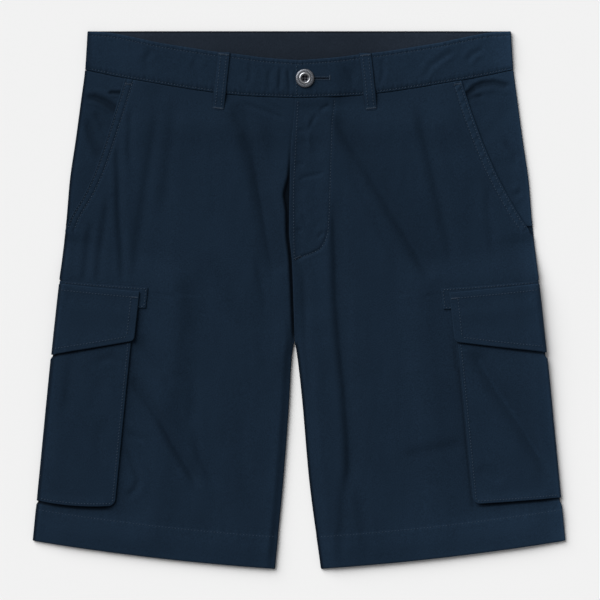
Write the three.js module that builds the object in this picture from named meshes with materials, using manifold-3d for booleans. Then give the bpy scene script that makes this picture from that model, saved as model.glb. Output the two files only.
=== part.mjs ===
import * as THREE from 'three';
import { mergeVertices } from 'three/addons/utils/BufferGeometryUtils.js';
import Module from 'manifold-3d';

// Cargo shorts lying flat on a table, face up, in millimetres.
// +X is the wearer's left, +Y the waist, +Z up. The table is z = 0 and the origin lies under
// the middle of the outline. hand is +1 for the wearer's left and -1 for the right.

const wasm = await Module();
wasm.setup();

// Cloth thicknesses
const CLOTH = 1.2;
const BAND = 2.2;
const TRIM = 1.0;
const STRAP = 1.5;
const HEM_EXTRA = 0.5;
const GAP = 0.3;

// Levels of the middle surfaces
const LOFT = 2.2;
const BAND_LOFT = 2.7;
const FLY_STEP = 1.5;
const FLY_UNDERLAP = 14;
const SLANT_STEP = 1.5;
const BAND_STEP = 2.5;

// Lengths of the garment
const WAIST_TOP = 277;
const WAIST_SEAM_SIDE = 237;
const HEM_SIDE = -248;
const HEM_INSEAM = -277;
const HEM_DEPTH = 33;
const CROTCH = { x: -5.4, y: -42.2 };
const ROW_BOW = 3;

// Half width of the garment at its side seams
const SIDE_LINE = [
  { y: 277, half: 218 },
  { y: 237, half: 220.5 },
  { y: 206, half: 224.5 },
  { y: 165, half: 230 },
  { y: 123.5, half: 236 },
  { y: 82.5, half: 239.5 },
  { y: 41, half: 244 },
  { y: 20.5, half: 246.7 },
  { y: -248, half: 274 },
];

// Edge of the wearer's left front, which laps over the right one
const FLY_EDGE = [
  { y: 247, x: -4.9 },
  { y: 208, x: -4.9 },
  { y: 157, x: -9 },
  { y: 113, x: -10.6 },
  { y: 73, x: -11.1 },
  { y: 37, x: -8 },
  { y: -42.2, x: -5.4 },
];

// Each inseam's distance from the crotch line
const INSEAM = [
  { y: -42.2, left: 0, right: 0 },
  { y: -62, left: 3, right: 2.6 },
  { y: -103, left: 7.5, right: 4.9 },
  { y: -185, left: 14.7, right: 11 },
  { y: -277, left: 27, right: 19.8 },
];

// Slanted pocket opening, from the waist seam to the side seam
const SLANT = [
  { y: 228, left: 166, right: 179 },
  { y: 185, left: 180, right: 192.5 },
  { y: 135, left: 200.3, right: 209.3 },
  { y: 110, left: 213, right: 220.5 },
  { y: 85, left: 227.5, right: 235 },
  { y: 72, left: 236.5, right: 240.4 },
];

// Seam under the front waistband and the band's top edge
const FRONT_BAND = [
  { x: 0, seam: 208, top: 246.8 },
  { x: 36, seam: 209.3, top: 249.6 },
  { x: 60, seam: 210.6, top: 252.8 },
  { x: 88, seam: 213.8, top: 256 },
  { x: 117, seam: 218, top: 260.6 },
  { x: 144, seam: 222.5, top: 265 },
  { x: 174, seam: 227.6, top: 271.5 },
  { x: 196, seam: 232, top: 275.5 },
  { x: 218, seam: 236.8, top: 277 },
];

// Rows of the leg panels, named by their height at the side seam
const TOP_ROW = 226.6;
const SLANT_ROW = 72;
const THIGH_ROW = 60;
const HIP_ROWS = [TOP_ROW, 210, 190, 165, 140, 115, 95, 80, SLANT_ROW];
const SEAT_ROWS = [236.85, 215, 185, 150, 105];
const THIGH_ROWS = [THIGH_ROW, 42, 25, 8, -18.2, -40, -60, -72, -92, -120, -150, -180, -206];
const HEM_ROWS = [-214.5, -215, -232, HEM_SIDE];
const FACING_ROWS = [236.6, 215, 190, 165, 140, 115, 95, 84, 76];

// Columns of the leg panels, as shares of the way in from the side seam
const FRONT_COLUMNS = [0.08, 0.2, 0.32, 0.45, 0.52, 0.6, 0.69, 0.77, 0.82, 0.87, 0.93];
const BACK_COLUMNS = [0.08, 0.2, 0.32, 0.45, 0.6, 0.8];

// How far the facing reaches under the front leg, at its bottom and higher up
const FACING_TUCK = { low: 10, high: 15 };

// How a sheet turns down to a side seam, in shares of the turn's radius
const SEAM_END = [
  { round: 0, fall: 1, flat: 0 },
  { round: 0, fall: 0.7, flat: 0.3 },
  { round: 0.29, fall: 0.29, flat: 0.8 },
  { round: 1, fall: 0, flat: 1.6 },
];

// What lies under the back, as the rows between which it lifts the cloth
const BAG_LIFT = { none: 60, full: 25, fullEnd: -215, noneEnd: -232 };
const FLAP_LIFT = { none: 60, full: 25, fullEnd: -72, noneEnd: -92 };
const LIFT_REACH = { full: 114, none: 148 };
const LOOP_LIFT = { full: 150, none: 200, below: 150, above: 185 };

// Folds of the front, each a bowed line, with its half width and its depth
const RELIEF_MOST = 2.9;
const PUFF = 1.7;
const FOLDS = [
  { fromX: 35, fromY: 136, toX: 42, toY: -260, bow: 10, width: 13, depth: 1.9 },
  { fromX: 37, fromY: 177, toX: 145, toY: 21, bow: -4, width: 13, depth: 1.4 },
  { fromX: 120, fromY: 194, toX: 157, toY: 70, bow: 0, width: 12, depth: 1.1 },
  { fromX: -62, fromY: 177, toX: -20, toY: 54, bow: 0, width: 13, depth: 1.3 },
  { fromX: -150, fromY: 173, toX: -165, toY: 29, bow: 4, width: 12, depth: 1.1 },
  { fromX: -171, fromY: -87, toX: -107, toY: -185, bow: 4, width: 13, depth: 1.4 },
  { fromX: -78, fromY: 8, toX: -62, toY: -136, bow: 0, width: 15, depth: 1.0 },
];

// Cargo pocket: how far it reaches round the side seam, and its rows
const POCKET = {
  left: { front: 90, back: 80, overhang: 2.5 },
  right: { front: 80, back: 90, overhang: 1.0 },
};
const POCKET_INSET = 1.5;
const WRAP_CENTRE = 3.2;
const BAG_RADIUS = 2.6;
const FLAP_RADIUS = 4.25;
const POCKET_RISE = 4.2;
const RISE_FROM = 16;
const POCKET_CORNER = 7;
const POCKET_ROWS = [
  { side: -14, skew: 0 },
  { side: -40, skew: 0 },
  { side: -72, skew: 0 },
  { side: -92, skew: 0 },
  { side: -120, skew: 1 },
  { side: -150, skew: 2 },
  { side: -180, skew: 3.5 },
  { side: -199, skew: 4.6 },
  { side: -204.4, skew: 5 },
  { side: -206.3, skew: 5 },
];

// Flap: top and bottom rows at the side seam and at its ends
const FLAP = { side: 17, end: 19, bottomSide: -56, bottomEnd: -31.5, extra: 3, corner: 4, flare: 0.8 };
const FLAP_STEPS = [0, 0.18, 0.4, 0.62, 0.8, 0.95, 1];
const FLAP_RISE = { from: 8, to: -8 };

// Stay: the patch under the flap, past its end and its top edge
const STAY = { side: 20, end: 24, bottom: -10, past: 8, start: 3 };

// Gusset: folded strip along the front and the bottom of the pocket
const GUSSET = { flange: 6, radius: 0.7, low: 1.4, corner: 8, top: -18, last: 18 };

// Belt loops: middle of the top and bottom ends
const LOOP_WIDTH = 13;
const LOOP_ARCH = 1.6;
const FRONT_LOOPS = [
  { name: 'belt_loop_front_left', topX: 67.7, topY: 251.6, bottomX: 73.4, bottomY: 197.8 },
  { name: 'belt_loop_front_right', topX: -78, topY: 253, bottomX: -84.2, bottomY: 197.2 },
];
const BACK_LOOPS = [
  { name: 'belt_loop_back_left', x: 118 },
  { name: 'belt_loop_back_centre', x: 0 },
  { name: 'belt_loop_back_right', x: -118 },
];
const BACK_LOOP_ENDS = { top: 277, bottom: 222 };

// Waistband overlap, buttonhole and button
const OVERLAP_END = 30;
const BUTTON = { x: 5.4, y: 228.1, radius: 9.6, post: 1.0, hole: 0.85, spread: 1.95 };
const BUTTONHOLE = { end: 31.5, half: 1.35 };

const cloth = new THREE.MeshStandardMaterial({ color: 0x19263a, roughness: 0.92, metalness: 0 });
const lining = new THREE.MeshStandardMaterial({ color: 0x1f2a3c, roughness: 0.95, metalness: 0 });
const metal = new THREE.MeshStandardMaterial({ color: 0x6c6f76, roughness: 0.42, metalness: 0.9 });

// Tables and ramps

function read(table, by, at, column) {
  const rising = table[table.length - 1][by] > table[0][by];
  let next = 1;
  while (next < table.length - 1 && (rising ? table[next][by] < at : table[next][by] > at)) next += 1;
  const before = table[next - 1];
  const after = table[next];
  const share = THREE.MathUtils.clamp((at - before[by]) / (after[by] - before[by]), 0, 1);
  return THREE.MathUtils.lerp(before[column], after[column], share);
}

function ramp(value, none, full) {
  return THREE.MathUtils.clamp((value - none) / (full - none), 0, 1);
}

const mix = THREE.MathUtils.lerp;
const handName = (hand) => (hand > 0 ? 'left' : 'right');
const sideHalf = (y) => read(SIDE_LINE, 'y', y, 'half');
const slantHalf = (hand, y) => read(SLANT, 'y', y, handName(hand));
const seamY = (x) => read(FRONT_BAND, 'x', Math.abs(x), 'seam');
const bandTopY = (x) => read(FRONT_BAND, 'x', Math.abs(x), 'top');
const flyX = (y) => read(FLY_EDGE, 'y', y, 'x');

function betweenRows(level, lift) {
  return ramp(level, lift.none, lift.full) * ramp(level, lift.noneEnd, lift.fullEnd);
}

// Plan of a leg

function innerX(hand, y) {
  return CROTCH.x + hand * (read(INSEAM, 'y', y, handName(hand)) + GAP / 2);
}

function innerY(level) {
  return mix(seamY(0), HEM_INSEAM, (TOP_ROW - level) / (TOP_ROW - HEM_SIDE));
}

// The leg's own edge is drawn in where the cargo pocket wraps round it
function legSideHalf(level) {
  const wrapped = ramp(level, 32, 18) * ramp(level, -226, -212);
  return sideHalf(level) - POCKET_INSET * wrapped;
}

function drop(level, inward) {
  const inner = innerY(level);
  const share = THREE.MathUtils.clamp(inward / (sideHalf(level) + 6), 0, 1);
  return (level - inner) * share + ROW_BOW * 4 * share * (1 - share);
}

// Heights of the middle surfaces

function pocketLift(level, inward) {
  const reach = ramp(inward, LIFT_REACH.none, LIFT_REACH.full);
  const bag = (CLOTH + GAP) * betweenRows(level, BAG_LIFT);
  const flap = (STRAP + GAP) * betweenRows(level, FLAP_LIFT);
  return (bag + flap) * reach;
}

function loopLift(x, y) {
  const across = ramp(Math.abs(x), LOOP_LIFT.none, LOOP_LIFT.full);
  return (STRAP + GAP) * across * ramp(y, LOOP_LIFT.below, LOOP_LIFT.above);
}

function backHeight(level, inward, x, y) {
  return CLOTH / 2 + pocketLift(level, inward) + loopLift(x, y);
}

function foldHeight(x, y) {
  return FOLDS.reduce((sum, fold) => {
    const alongX = fold.toX - fold.fromX;
    const alongY = fold.toY - fold.fromY;
    const length = Math.hypot(alongX, alongY);
    const share = ((x - fold.fromX) * alongX + (y - fold.fromY) * alongY) / length ** 2;
    if (share <= 0 || share >= 1) return sum;
    const across = ((y - fold.fromY) * alongX - (x - fold.fromX) * alongY) / length;
    const off = (across - fold.bow * 4 * share * (1 - share)) / fold.width;
    const fade = ramp(share, 0, 0.2) * ramp(share, 1, 0.8);
    return sum - fold.depth * fade * Math.cos((Math.PI * off) / 2) * Math.exp(-(off * off) / 3);
  }, 0);
}

// Soft rise of the front between its seams, level wherever another piece lies on it or under it
function relief(hand, level, inward, x, y) {
  const pocket = ramp(level, 60, 32) * ramp(level, -250, -225);
  const fromSide = mix(ramp(inward, 4, 45), ramp(inward, 104, 140), pocket);
  const fromSlant = level > SLANT_ROW ? ramp(slantHalf(hand, y) - Math.abs(x), 18, 50) : 1;
  const fromMiddle = ramp(hand * (x - (y > CROTCH.y ? CROTCH.x : innerX(hand, y))), 24, 60);
  const inseamEase = y > CROTCH.y ? 1 : ramp(Math.abs(x - innerX(hand, y)), 3, 40);
  const middle = y > CROTCH.y ? fromMiddle : inseamEase;
  const fromWaist = ramp(y, 190, 150);
  const rise = THREE.MathUtils.clamp(PUFF + foldHeight(x, y), 0, RELIEF_MOST);
  return rise * fromSide * fromSlant * middle * fromWaist;
}

function flyLift(hand, x, y) {
  if (hand < 0) return 0;
  return FLY_STEP * ramp(x, 46, 22) * ramp(y, CROTCH.y, -16);
}

function slantLift(hand, level, x, y) {
  return SLANT_STEP * ramp(slantHalf(hand, y) - Math.abs(x), 44, 19) * ramp(level, THIGH_ROW, SLANT_ROW);
}

function frontHeight(hand, level, inward, x, y) {
  const base = backHeight(level, inward, x, y) + LOFT;
  return base + relief(hand, level, inward, x, y) + flyLift(hand, x, y) + slantLift(hand, level, x, y);
}

// Closed walls from rows of points on the middle surface

function wall(rows, thickness) {
  const deep = rows.length;
  const wide = rows[0].length;
  const positions = [];
  const thick = typeof thickness === 'function' ? thickness : () => thickness;
  const sides = [1, -1];
  for (const side of sides) {
    for (let i = 0; i < deep; i += 1) {
      for (let j = 0; j < wide; j += 1) {
        const down = rows[Math.min(i + 1, deep - 1)][j].clone().sub(rows[Math.max(i - 1, 0)][j]);
        const across = rows[i][Math.min(j + 1, wide - 1)].clone().sub(rows[i][Math.max(j - 1, 0)]);
        const normal = down.cross(across).normalize();
        positions.push(rows[i][j].clone().addScaledVector(normal, (side * thick(i, j)) / 2));
      }
    }
  }
  const at = (side, i, j) => side * deep * wide + i * wide + j;
  const index = [];
  const quad = (a, b, c, d) => index.push(a, b, c, a, c, d);
  for (let i = 0; i < deep - 1; i += 1) {
    for (let j = 0; j < wide - 1; j += 1) {
      quad(at(0, i, j), at(0, i + 1, j), at(0, i + 1, j + 1), at(0, i, j + 1));
      quad(at(1, i, j), at(1, i, j + 1), at(1, i + 1, j + 1), at(1, i + 1, j));
    }
  }
  for (let i = 0; i < deep - 1; i += 1) {
    quad(at(0, i, 0), at(1, i, 0), at(1, i + 1, 0), at(0, i + 1, 0));
    quad(at(0, i + 1, wide - 1), at(1, i + 1, wide - 1), at(1, i, wide - 1), at(0, i, wide - 1));
  }
  for (let j = 0; j < wide - 1; j += 1) {
    quad(at(0, 0, j + 1), at(1, 0, j + 1), at(1, 0, j), at(0, 0, j));
    quad(at(0, deep - 1, j), at(1, deep - 1, j), at(1, deep - 1, j + 1), at(0, deep - 1, j + 1));
  }
  const geometry = new THREE.BufferGeometry();
  geometry.setFromPoints(positions);
  geometry.setIndex(index);
  return geometry;
}

// The end of a sheet at a seam: flat where turn is 0, a quarter round down to the seam where it is 1
function seamEnd(turn, thickness, loft) {
  const radius = loft / 2;
  return SEAM_END.map(({ round, fall, flat }) => ({
    inset: mix(radius * flat, thickness / 2 + radius * round, turn),
    fall: turn * (radius - GAP / 2) * fall,
  }));
}

// One row of points across a leg, from its outer end to its inner end
function legRow(hand, level, outer, inner, columns, height, fallSign) {
  const along = (share) => {
    const x = mix(outer.x, inner.x, share);
    const y = mix(outer.y, inner.y, share) - ROW_BOW * 4 * share * (1 - share) * outer.bow;
    return { x, y };
  };
  const point = (x, y, fall) => {
    const inward = legSideHalf(level) - Math.abs(x);
    return new THREE.Vector3(x, y, height(hand, level, inward, x, y) + fallSign * fall);
  };
  const outerEnd = seamEnd(outer.turn, CLOTH, LOFT);
  const innerEnd = seamEnd(inner.turn, CLOTH, LOFT).reverse();
  return [
    ...outerEnd.map(({ inset, fall }) => point(outer.x - hand * inset, outer.y, fall)),
    ...columns.map(along).map(({ x, y }) => point(x, outer.seam ? outer.seam(x, y) : y, 0)),
    ...innerEnd.map(({ inset, fall }) => point(inner.x + hand * inset, inner.y, fall)),
  ];
}

const isHem = (level) => level <= HEM_SIDE + HEM_DEPTH;

function innerEnd(hand, level, underlap) {
  const y = innerY(level);
  if (y < CROTCH.y - 1) return { x: innerX(hand, y), y, turn: 1 };
  const lapped = underlap * ramp(y, -15, 20);
  return { x: flyX(y) + lapped + (hand * GAP) / 2, y, turn: 0 };
}

function frontLeg(hand) {
  const underlap = hand > 0 ? 0 : FLY_UNDERLAP;
  const levels = [...HIP_ROWS, ...THIGH_ROWS, ...HEM_ROWS];
  const rows = levels.map((level, order) => {
    const onSlant = level >= SLANT_ROW;
    const half = onSlant ? slantHalf(hand, level) : legSideHalf(level);
    const inner = innerEnd(hand, level, underlap);
    const outer = { x: hand * half, y: level, turn: onSlant ? 0 : 1, bow: 1 };
    if (order === 0) {
      outer.y = seamY(outer.x) - GAP / 2;
      inner.y = seamY(0) - GAP / 2;
      outer.seam = (x) => seamY(x) - GAP / 2;
    }
    const height = (...place) => frontHeight(...place) + (isHem(level) ? HEM_EXTRA / 2 : 0);
    return legRow(hand, level, outer, inner, FRONT_COLUMNS, height, -1);
  });
  return wall(rows, (i) => CLOTH + (isHem(levels[i]) ? HEM_EXTRA : 0));
}

function backInnerEnd(hand, level) {
  const onSeat = level > THIGH_ROW;
  const seatY = mix(WAIST_SEAM_SIDE - GAP / 2, innerY(THIGH_ROW), ramp(level, SEAT_ROWS[0], THIGH_ROW));
  const y = onSeat ? seatY : innerY(level);
  if (y < CROTCH.y - 1) return { x: innerX(hand, y), y, turn: 1 };
  return { x: mix(CROTCH.x, 0, ramp(y, CROTCH.y, WAIST_SEAM_SIDE)) + (hand * GAP) / 2, y, turn: 0 };
}

function backLeg(hand) {
  const levels = [...SEAT_ROWS, ...THIGH_ROWS, ...HEM_ROWS];
  const rows = levels.map((level) => {
    const outer = { x: hand * legSideHalf(level), y: level, turn: 1, bow: ramp(level, SEAT_ROWS[0], 105) };
    const height = (side, row, inward, x, y) =>
      backHeight(row, inward, x, y) + (isHem(level) ? HEM_EXTRA / 2 : 0);
    return legRow(hand, level, outer, backInnerEnd(hand, level), BACK_COLUMNS, height, 1);
  });
  return wall(rows, (i) => CLOTH + (isHem(levels[i]) ? HEM_EXTRA : 0));
}

// Side panel seen behind the slanted opening, tucked under the front leg's edge
function hipPocket(hand) {
  const rows = FACING_ROWS.map((level) => {
    const outerX = sideHalf(level);
    const innerHalf = slantHalf(hand, level) - mix(FACING_TUCK.low, FACING_TUCK.high, ramp(level, 76, 115));
    const tilt = (half) => level + (seamY(half) - seamY(outerX)) * ramp(level, 140, FACING_ROWS[0]);
    const point = (half, fall) => {
      const x = hand * half;
      const y = Math.min(tilt(half), seamY(half) - GAP / 2);
      const z = backHeight(level, outerX - half, x, y) + LOFT - fall;
      return new THREE.Vector3(x, y, z);
    };
    const end = seamEnd(1, TRIM, LOFT).map(({ inset, fall }) => point(outerX - inset, fall));
    const inside = [0.25, 0.5, 0.75, 1].map((share) => point(mix(outerX - 2, innerHalf, share), 0));
    return [...end, ...inside];
  });
  return wall(rows, TRIM);
}

// Waistbands

function bandRow(share, x, fall, height) {
  const y = mix(bandTopY(x), seamY(x) + GAP / 2, share);
  return new THREE.Vector3(x, y, height - fall);
}

function frontBand(hand) {
  const columns = hand > 0
    ? [190, 165, 140, 118, 98, 78, 58, 46, 34, 24, 14, 5, -4.9]
    : [190, 165, 140, 118, 98, 78, 58, 40, 25, 10, -8, -OVERLAP_END];
  const rows = [0, 0.35, 0.7, 1].map((share) => {
    const half = sideHalf(mix(WAIST_TOP, WAIST_SEAM_SIDE, share));
    const level = (x) => {
      const lapped = hand > 0 ? BAND_STEP * ramp(x, 58, 34) : 0;
      return BAND / 2 + BAND_LOFT + loopLift(x, WAIST_TOP) + lapped;
    };
    const end = seamEnd(1, BAND, BAND_LOFT).map(({ inset, fall }) => {
      const x = hand * (half - inset);
      return bandRow(share, x, fall, level(x));
    });
    const inside = columns.map((distance) => bandRow(share, hand * distance, 0, level(hand * distance)));
    return [...end, ...inside];
  });
  return wall(rows, BAND);
}

function backBand() {
  const half = [190, 170, 150, 120, 90, 60, 30];
  const columns = [...half, 0, ...half.map((x) => -x).reverse()];
  const rows = [0, 0.5, 1].map((share) => {
    const y = mix(WAIST_TOP, WAIST_SEAM_SIDE + GAP / 2, share);
    const point = (x, rise) => new THREE.Vector3(x, y, BAND / 2 + loopLift(x, WAIST_TOP) + rise);
    const ends = seamEnd(1, BAND, BAND_LOFT);
    const edge = sideHalf(y);
    return [
      ...ends.map(({ inset, fall }) => point(edge - inset, fall)),
      ...columns.map((x) => point(x, 0)),
      ...[...ends].reverse().map(({ inset, fall }) => point(inset - edge, fall)),
    ];
  });
  return wall(rows, BAND);
}

// Cargo pockets

function legPlace(hand, level, inward, lift) {
  const x = hand * (sideHalf(level) - inward);
  const y = level - drop(level, inward);
  return new THREE.Vector3(x, y, pocketLift(level, inward) + CLOTH / 2 + LOFT + lift);
}

// A row that lies on the front, turns round the side seam and lies under the back
function wrapRow(hand, sideLevel, levelAt, frontReach, backReach, radius, rise, backZ, corner) {
  const reachTo = (reach) => [reach - corner, reach * 0.75, reach * 0.5, reach * 0.28, RISE_FROM];
  const level = (inward, reach) => levelAt(THREE.MathUtils.clamp(inward / reach, 0, 1));
  const front = reachTo(frontReach).map((inward) => {
    const row = level(inward, frontReach);
    return legPlace(hand, row, inward, rise(row, inward));
  });
  const centre = pocketLift(sideLevel, WRAP_CENTRE) + CLOTH / 2 + LOFT / 2;
  const turn = [90, 60, 30, 0, -30, -60, -90].map((degrees) => {
    const angle = THREE.MathUtils.degToRad(degrees);
    const x = hand * (sideHalf(sideLevel) - WRAP_CENTRE + radius * Math.cos(angle));
    return new THREE.Vector3(x, sideLevel - drop(sideLevel, WRAP_CENTRE), centre + radius * Math.sin(angle));
  });
  const back = reachTo(backReach).slice(0, 4).reverse().map((inward) => {
    const row = level(inward, backReach);
    return legPlace(hand, row, inward, 0).setZ(backZ(row, inward));
  });
  return [...front, ...turn, ...back];
}

function cornerPull(radius, height) {
  return height < radius ? radius - Math.sqrt(radius ** 2 - (radius - height) ** 2) : 0;
}

function pocketRise(inward) {
  return mix(BAG_RADIUS - LOFT / 2, POCKET_RISE, ramp(inward, WRAP_CENTRE, RISE_FROM));
}

function cargoPocket(hand) {
  const { front, back } = POCKET[handName(hand)];
  const bottom = POCKET_ROWS[POCKET_ROWS.length - 1].side;
  const rows = POCKET_ROWS.map(({ side, skew }) => {
    const levelAt = (share) => side + skew * share;
    const backZ = (level) => CLOTH / 2 + (STRAP + GAP) * betweenRows(level, FLAP_LIFT);
    const corner = cornerPull(POCKET_CORNER, side - bottom);
    const rise = (level, inward) => pocketRise(inward);
    return wrapRow(hand, side, levelAt, front, back, BAG_RADIUS, rise, backZ, corner);
  });
  return wall(rows, CLOTH);
}

function flapRise(level, inward) {
  const over = pocketRise(inward) - pocketRise(WRAP_CENTRE);
  return FLAP_RADIUS - LOFT / 2 + over * ramp(level, FLAP_RISE.from, FLAP_RISE.to);
}

function cargoFlap(hand) {
  const { front, back } = POCKET[handName(hand)];
  const depth = FLAP.end - FLAP.bottomEnd;
  const rows = FLAP_STEPS.map((step) => {
    const top = (share) => mix(FLAP.side, FLAP.end, share);
    const bottom = (share) => mix(FLAP.bottomSide, FLAP.bottomEnd, share);
    const levelAt = (share) => mix(top(share), bottom(share), step);
    const flare = FLAP.flare * ramp(step, 0.6, 1);
    const rise = (level, inward) => flapRise(level, inward) + flare * ramp(inward, WRAP_CENTRE, RISE_FROM);
    const corner = cornerPull(FLAP.corner, (1 - step) * depth);
    const reach = [front + FLAP.extra, back + FLAP.extra];
    return wrapRow(hand, levelAt(0), levelAt, ...reach, FLAP_RADIUS, rise, () => STRAP / 2, corner);
  });
  return wall(rows, STRAP);
}

function flapStay(hand) {
  const reach = POCKET[handName(hand)].front + FLAP.extra + STAY.past;
  const rows = [0, 0.33, 0.67, 1].map((step) =>
    [1, 0.8, 0.6, 0.4, 0.2, 0].map((share) => {
      const level = mix(mix(STAY.side, STAY.end, share), STAY.bottom, step);
      return legPlace(hand, level, mix(STAY.start, reach, share), CLOTH / 2 + GAP + TRIM / 2);
    }));
  return wall(rows, TRIM);
}

// Route of the gusset's outer edge, with the direction that points out of the pocket
function gussetRoute(hand) {
  const { front, overhang } = POCKET[handName(hand)];
  const edge = front + overhang;
  const { corner } = GUSSET;
  const lowest = POCKET_ROWS[POCKET_ROWS.length - 1];
  const skewAt = (inward) => lowest.skew * THREE.MathUtils.clamp(inward / front, 0, 1);
  const bottom = lowest.side - 0.5;
  const frontRun = [GUSSET.top, -45, FLAP_LIFT.fullEnd, FLAP_LIFT.noneEnd, -130, -170];
  const route = frontRun.map((level) => ({ level, inward: edge, out: [1, 0] }));
  for (const degrees of [0, 30, 60, 90]) {
    const angle = THREE.MathUtils.degToRad(degrees);
    const out = [Math.cos(angle), -Math.sin(angle)];
    const middle = { level: bottom + skewAt(edge - corner) + corner, inward: edge - corner };
    route.push({ level: middle.level + corner * out[1], inward: middle.inward + corner * out[0], out });
  }
  for (const share of [0.45, 1]) {
    const inward = mix(edge - corner, GUSSET.last, share);
    route.push({ level: bottom + skewAt(inward), inward, out: [0, -1] });
  }
  return route;
}

function cargoGusset(hand) {
  const { flange, radius, low } = GUSSET;
  const section = [{ inside: flange, height: low }, { inside: radius, height: low }];
  for (const degrees of [-45, 0, 45]) {
    const angle = THREE.MathUtils.degToRad(degrees);
    section.push({ inside: radius * (1 - Math.cos(angle)), height: low + radius * (1 + Math.sin(angle)) });
  }
  section.push({ inside: radius, height: low + 2 * radius }, { inside: flange, height: low + 2 * radius });
  const rows = gussetRoute(hand).map(({ level, inward, out }) =>
    section.map(({ inside, height }) =>
      legPlace(hand, level - out[1] * inside, inward - out[0] * inside, height)));
  return wall(rows, TRIM);
}

// Belt loops

function strapRows(topX, topY, bottomX, bottomY, heights) {
  const last = heights.length - 1;
  return heights.map((height, order) => {
    const share = order / last;
    const x = mix(topX, bottomX, share);
    const y = mix(topY, bottomY, share);
    return [-0.5, 0, 0.5].map((side) => new THREE.Vector3(x + side * LOOP_WIDTH, y, height(x, y, share)));
  });
}

function frontLoop({ topX, topY, bottomX, bottomY }) {
  const stations = Array.from({ length: 13 }, () => (x, y, share) => {
    const seam = seamY(x);
    const lapped = BAND_STEP * ramp(x, 58, 34);
    const onBand = BAND + BAND_LOFT + lapped;
    const onLeg = CLOTH + LOFT;
    const under = mix(onLeg, onBand, ramp(y, seam - 11, seam - 5)) + loopLift(x, y);
    return under + GAP + STRAP / 2 + LOOP_ARCH * Math.sin(Math.PI * share) ** 0.7;
  });
  return wall(strapRows(topX, topY, bottomX, bottomY, stations), STRAP);
}

function backLoop({ x }) {
  const flat = Array.from({ length: 5 }, () => () => STRAP / 2);
  return wall(strapRows(x, BACK_LOOP_ENDS.top, x, BACK_LOOP_ENDS.bottom, flat), STRAP);
}

// Cutting

function weld(geometry) {
  const bare = geometry.clone();
  bare.deleteAttribute('normal');
  bare.deleteAttribute('uv');
  const merged = mergeVertices(bare, 1e-4);
  const { array } = merged.index;
  const kept = [];
  for (let i = 0; i < array.length; i += 3) {
    const [a, b, c] = [array[i], array[i + 1], array[i + 2]];
    if (a !== b && b !== c && a !== c) kept.push(a, b, c);
  }
  merged.setIndex(kept);
  return merged;
}

function toSolid(geometry) {
  const { attributes, index } = weld(geometry);
  const vertProperties = new Float32Array(attributes.position.array);
  const triVerts = new Uint32Array(index.array);
  return new wasm.Manifold(new wasm.Mesh({ numProp: 3, vertProperties, triVerts }));
}

function cut(geometry, tools) {
  const solid = tools.reduce((body, tool) => body.subtract(toSolid(tool)), toSolid(geometry));
  const mesh = solid.getMesh();
  const result = new THREE.BufferGeometry();
  result.setAttribute('position', new THREE.BufferAttribute(mesh.vertProperties, 3));
  result.setIndex(new THREE.BufferAttribute(mesh.triVerts, 1));
  return result;
}

function slot() {
  const length = BUTTONHOLE.end - BUTTON.x;
  const tool = new THREE.BoxGeometry(length, 2 * BUTTONHOLE.half, 4 * BAND);
  const z = BAND / 2 + BAND_LOFT + STRAP + GAP + BAND_STEP;
  return tool.translate(BUTTON.x + length / 2 - BUTTONHOLE.half, BUTTON.y, z);
}

function button() {
  const under = BAND + BAND_LOFT + STRAP + GAP + GAP;
  const seat = under + BAND_STEP;
  const { radius, post, hole, spread } = BUTTON;
  const profile = [
    { r: 0, z: under },
    { r: post, z: under },
    { r: post, z: seat },
    { r: radius - 0.6, z: seat },
    { r: radius, z: seat + 0.6 },
    { r: radius, z: seat + 1.5 },
    { r: radius - 0.7, z: seat + 2.1 },
    { r: radius - 3.4, z: seat + 2.1 },
    { r: radius - 3.8, z: seat + 2.9 },
    { r: radius - 4.8, z: seat + 3.1 },
    { r: radius - 5.5, z: seat + 2.7 },
    { r: radius - 5.7, z: seat + 1.7 },
    { r: 0, z: seat + 1.7 },
  ];
  const body = new THREE.LatheGeometry(profile.map(({ r, z }) => new THREE.Vector2(r, z)), 24);
  body.rotateX(Math.PI / 2);
  const holes = [[1, 1], [1, -1], [-1, 1], [-1, -1]].map(([right, up]) => {
    const tool = new THREE.CylinderGeometry(hole, hole, 6, 10);
    return tool.rotateX(Math.PI / 2).translate(right * spread, up * spread, seat + 1.5);
  });
  return cut(body, holes).translate(BUTTON.x, BUTTON.y, 0);
}

// The garment

const shorts = new THREE.Group();

function add(name, geometry, material) {
  const mesh = new THREE.Mesh(geometry, material);
  mesh.name = name;
  shorts.add(mesh);
}

for (const hand of [1, -1]) {
  const side = handName(hand);
  add(`front_leg_${side}`, frontLeg(hand), cloth);
  add(`back_leg_${side}`, backLeg(hand), cloth);
  add(`hip_pocket_${side}`, hipPocket(hand), cloth);
  add(`cargo_pocket_${side}`, cargoPocket(hand), cloth);
  add(`cargo_gusset_${side}`, cargoGusset(hand), cloth);
  add(`cargo_flap_${side}`, cargoFlap(hand), cloth);
  add(`flap_stay_${side}`, flapStay(hand), cloth);
}
add('waistband_front_left', cut(frontBand(1), [slot()]), cloth);
add('waistband_front_right', frontBand(-1), cloth);
add('waistband_back', backBand(), lining);
for (const loop of FRONT_LOOPS) add(loop.name, frontLoop(loop), cloth);
for (const loop of BACK_LOOPS) add(loop.name, backLoop(loop), cloth);
add('waist_button', button(), metal);

export default shorts;
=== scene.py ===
"""Cargo shorts laid flat on a pale surface and seen from straight above.

Sizes are in millimetres until a mesh is made. +X is the wearer's left, +Y the waist, +Z up.
A row of a panel is named by its level, the height at which it meets the side seam.
"""

import logging
import math
from collections.abc import Callable, Iterable
from dataclasses import dataclass, field
from enum import Enum

import bpy
import numpy as np
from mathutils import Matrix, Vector
from mathutils.bvhtree import BVHTree


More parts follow.
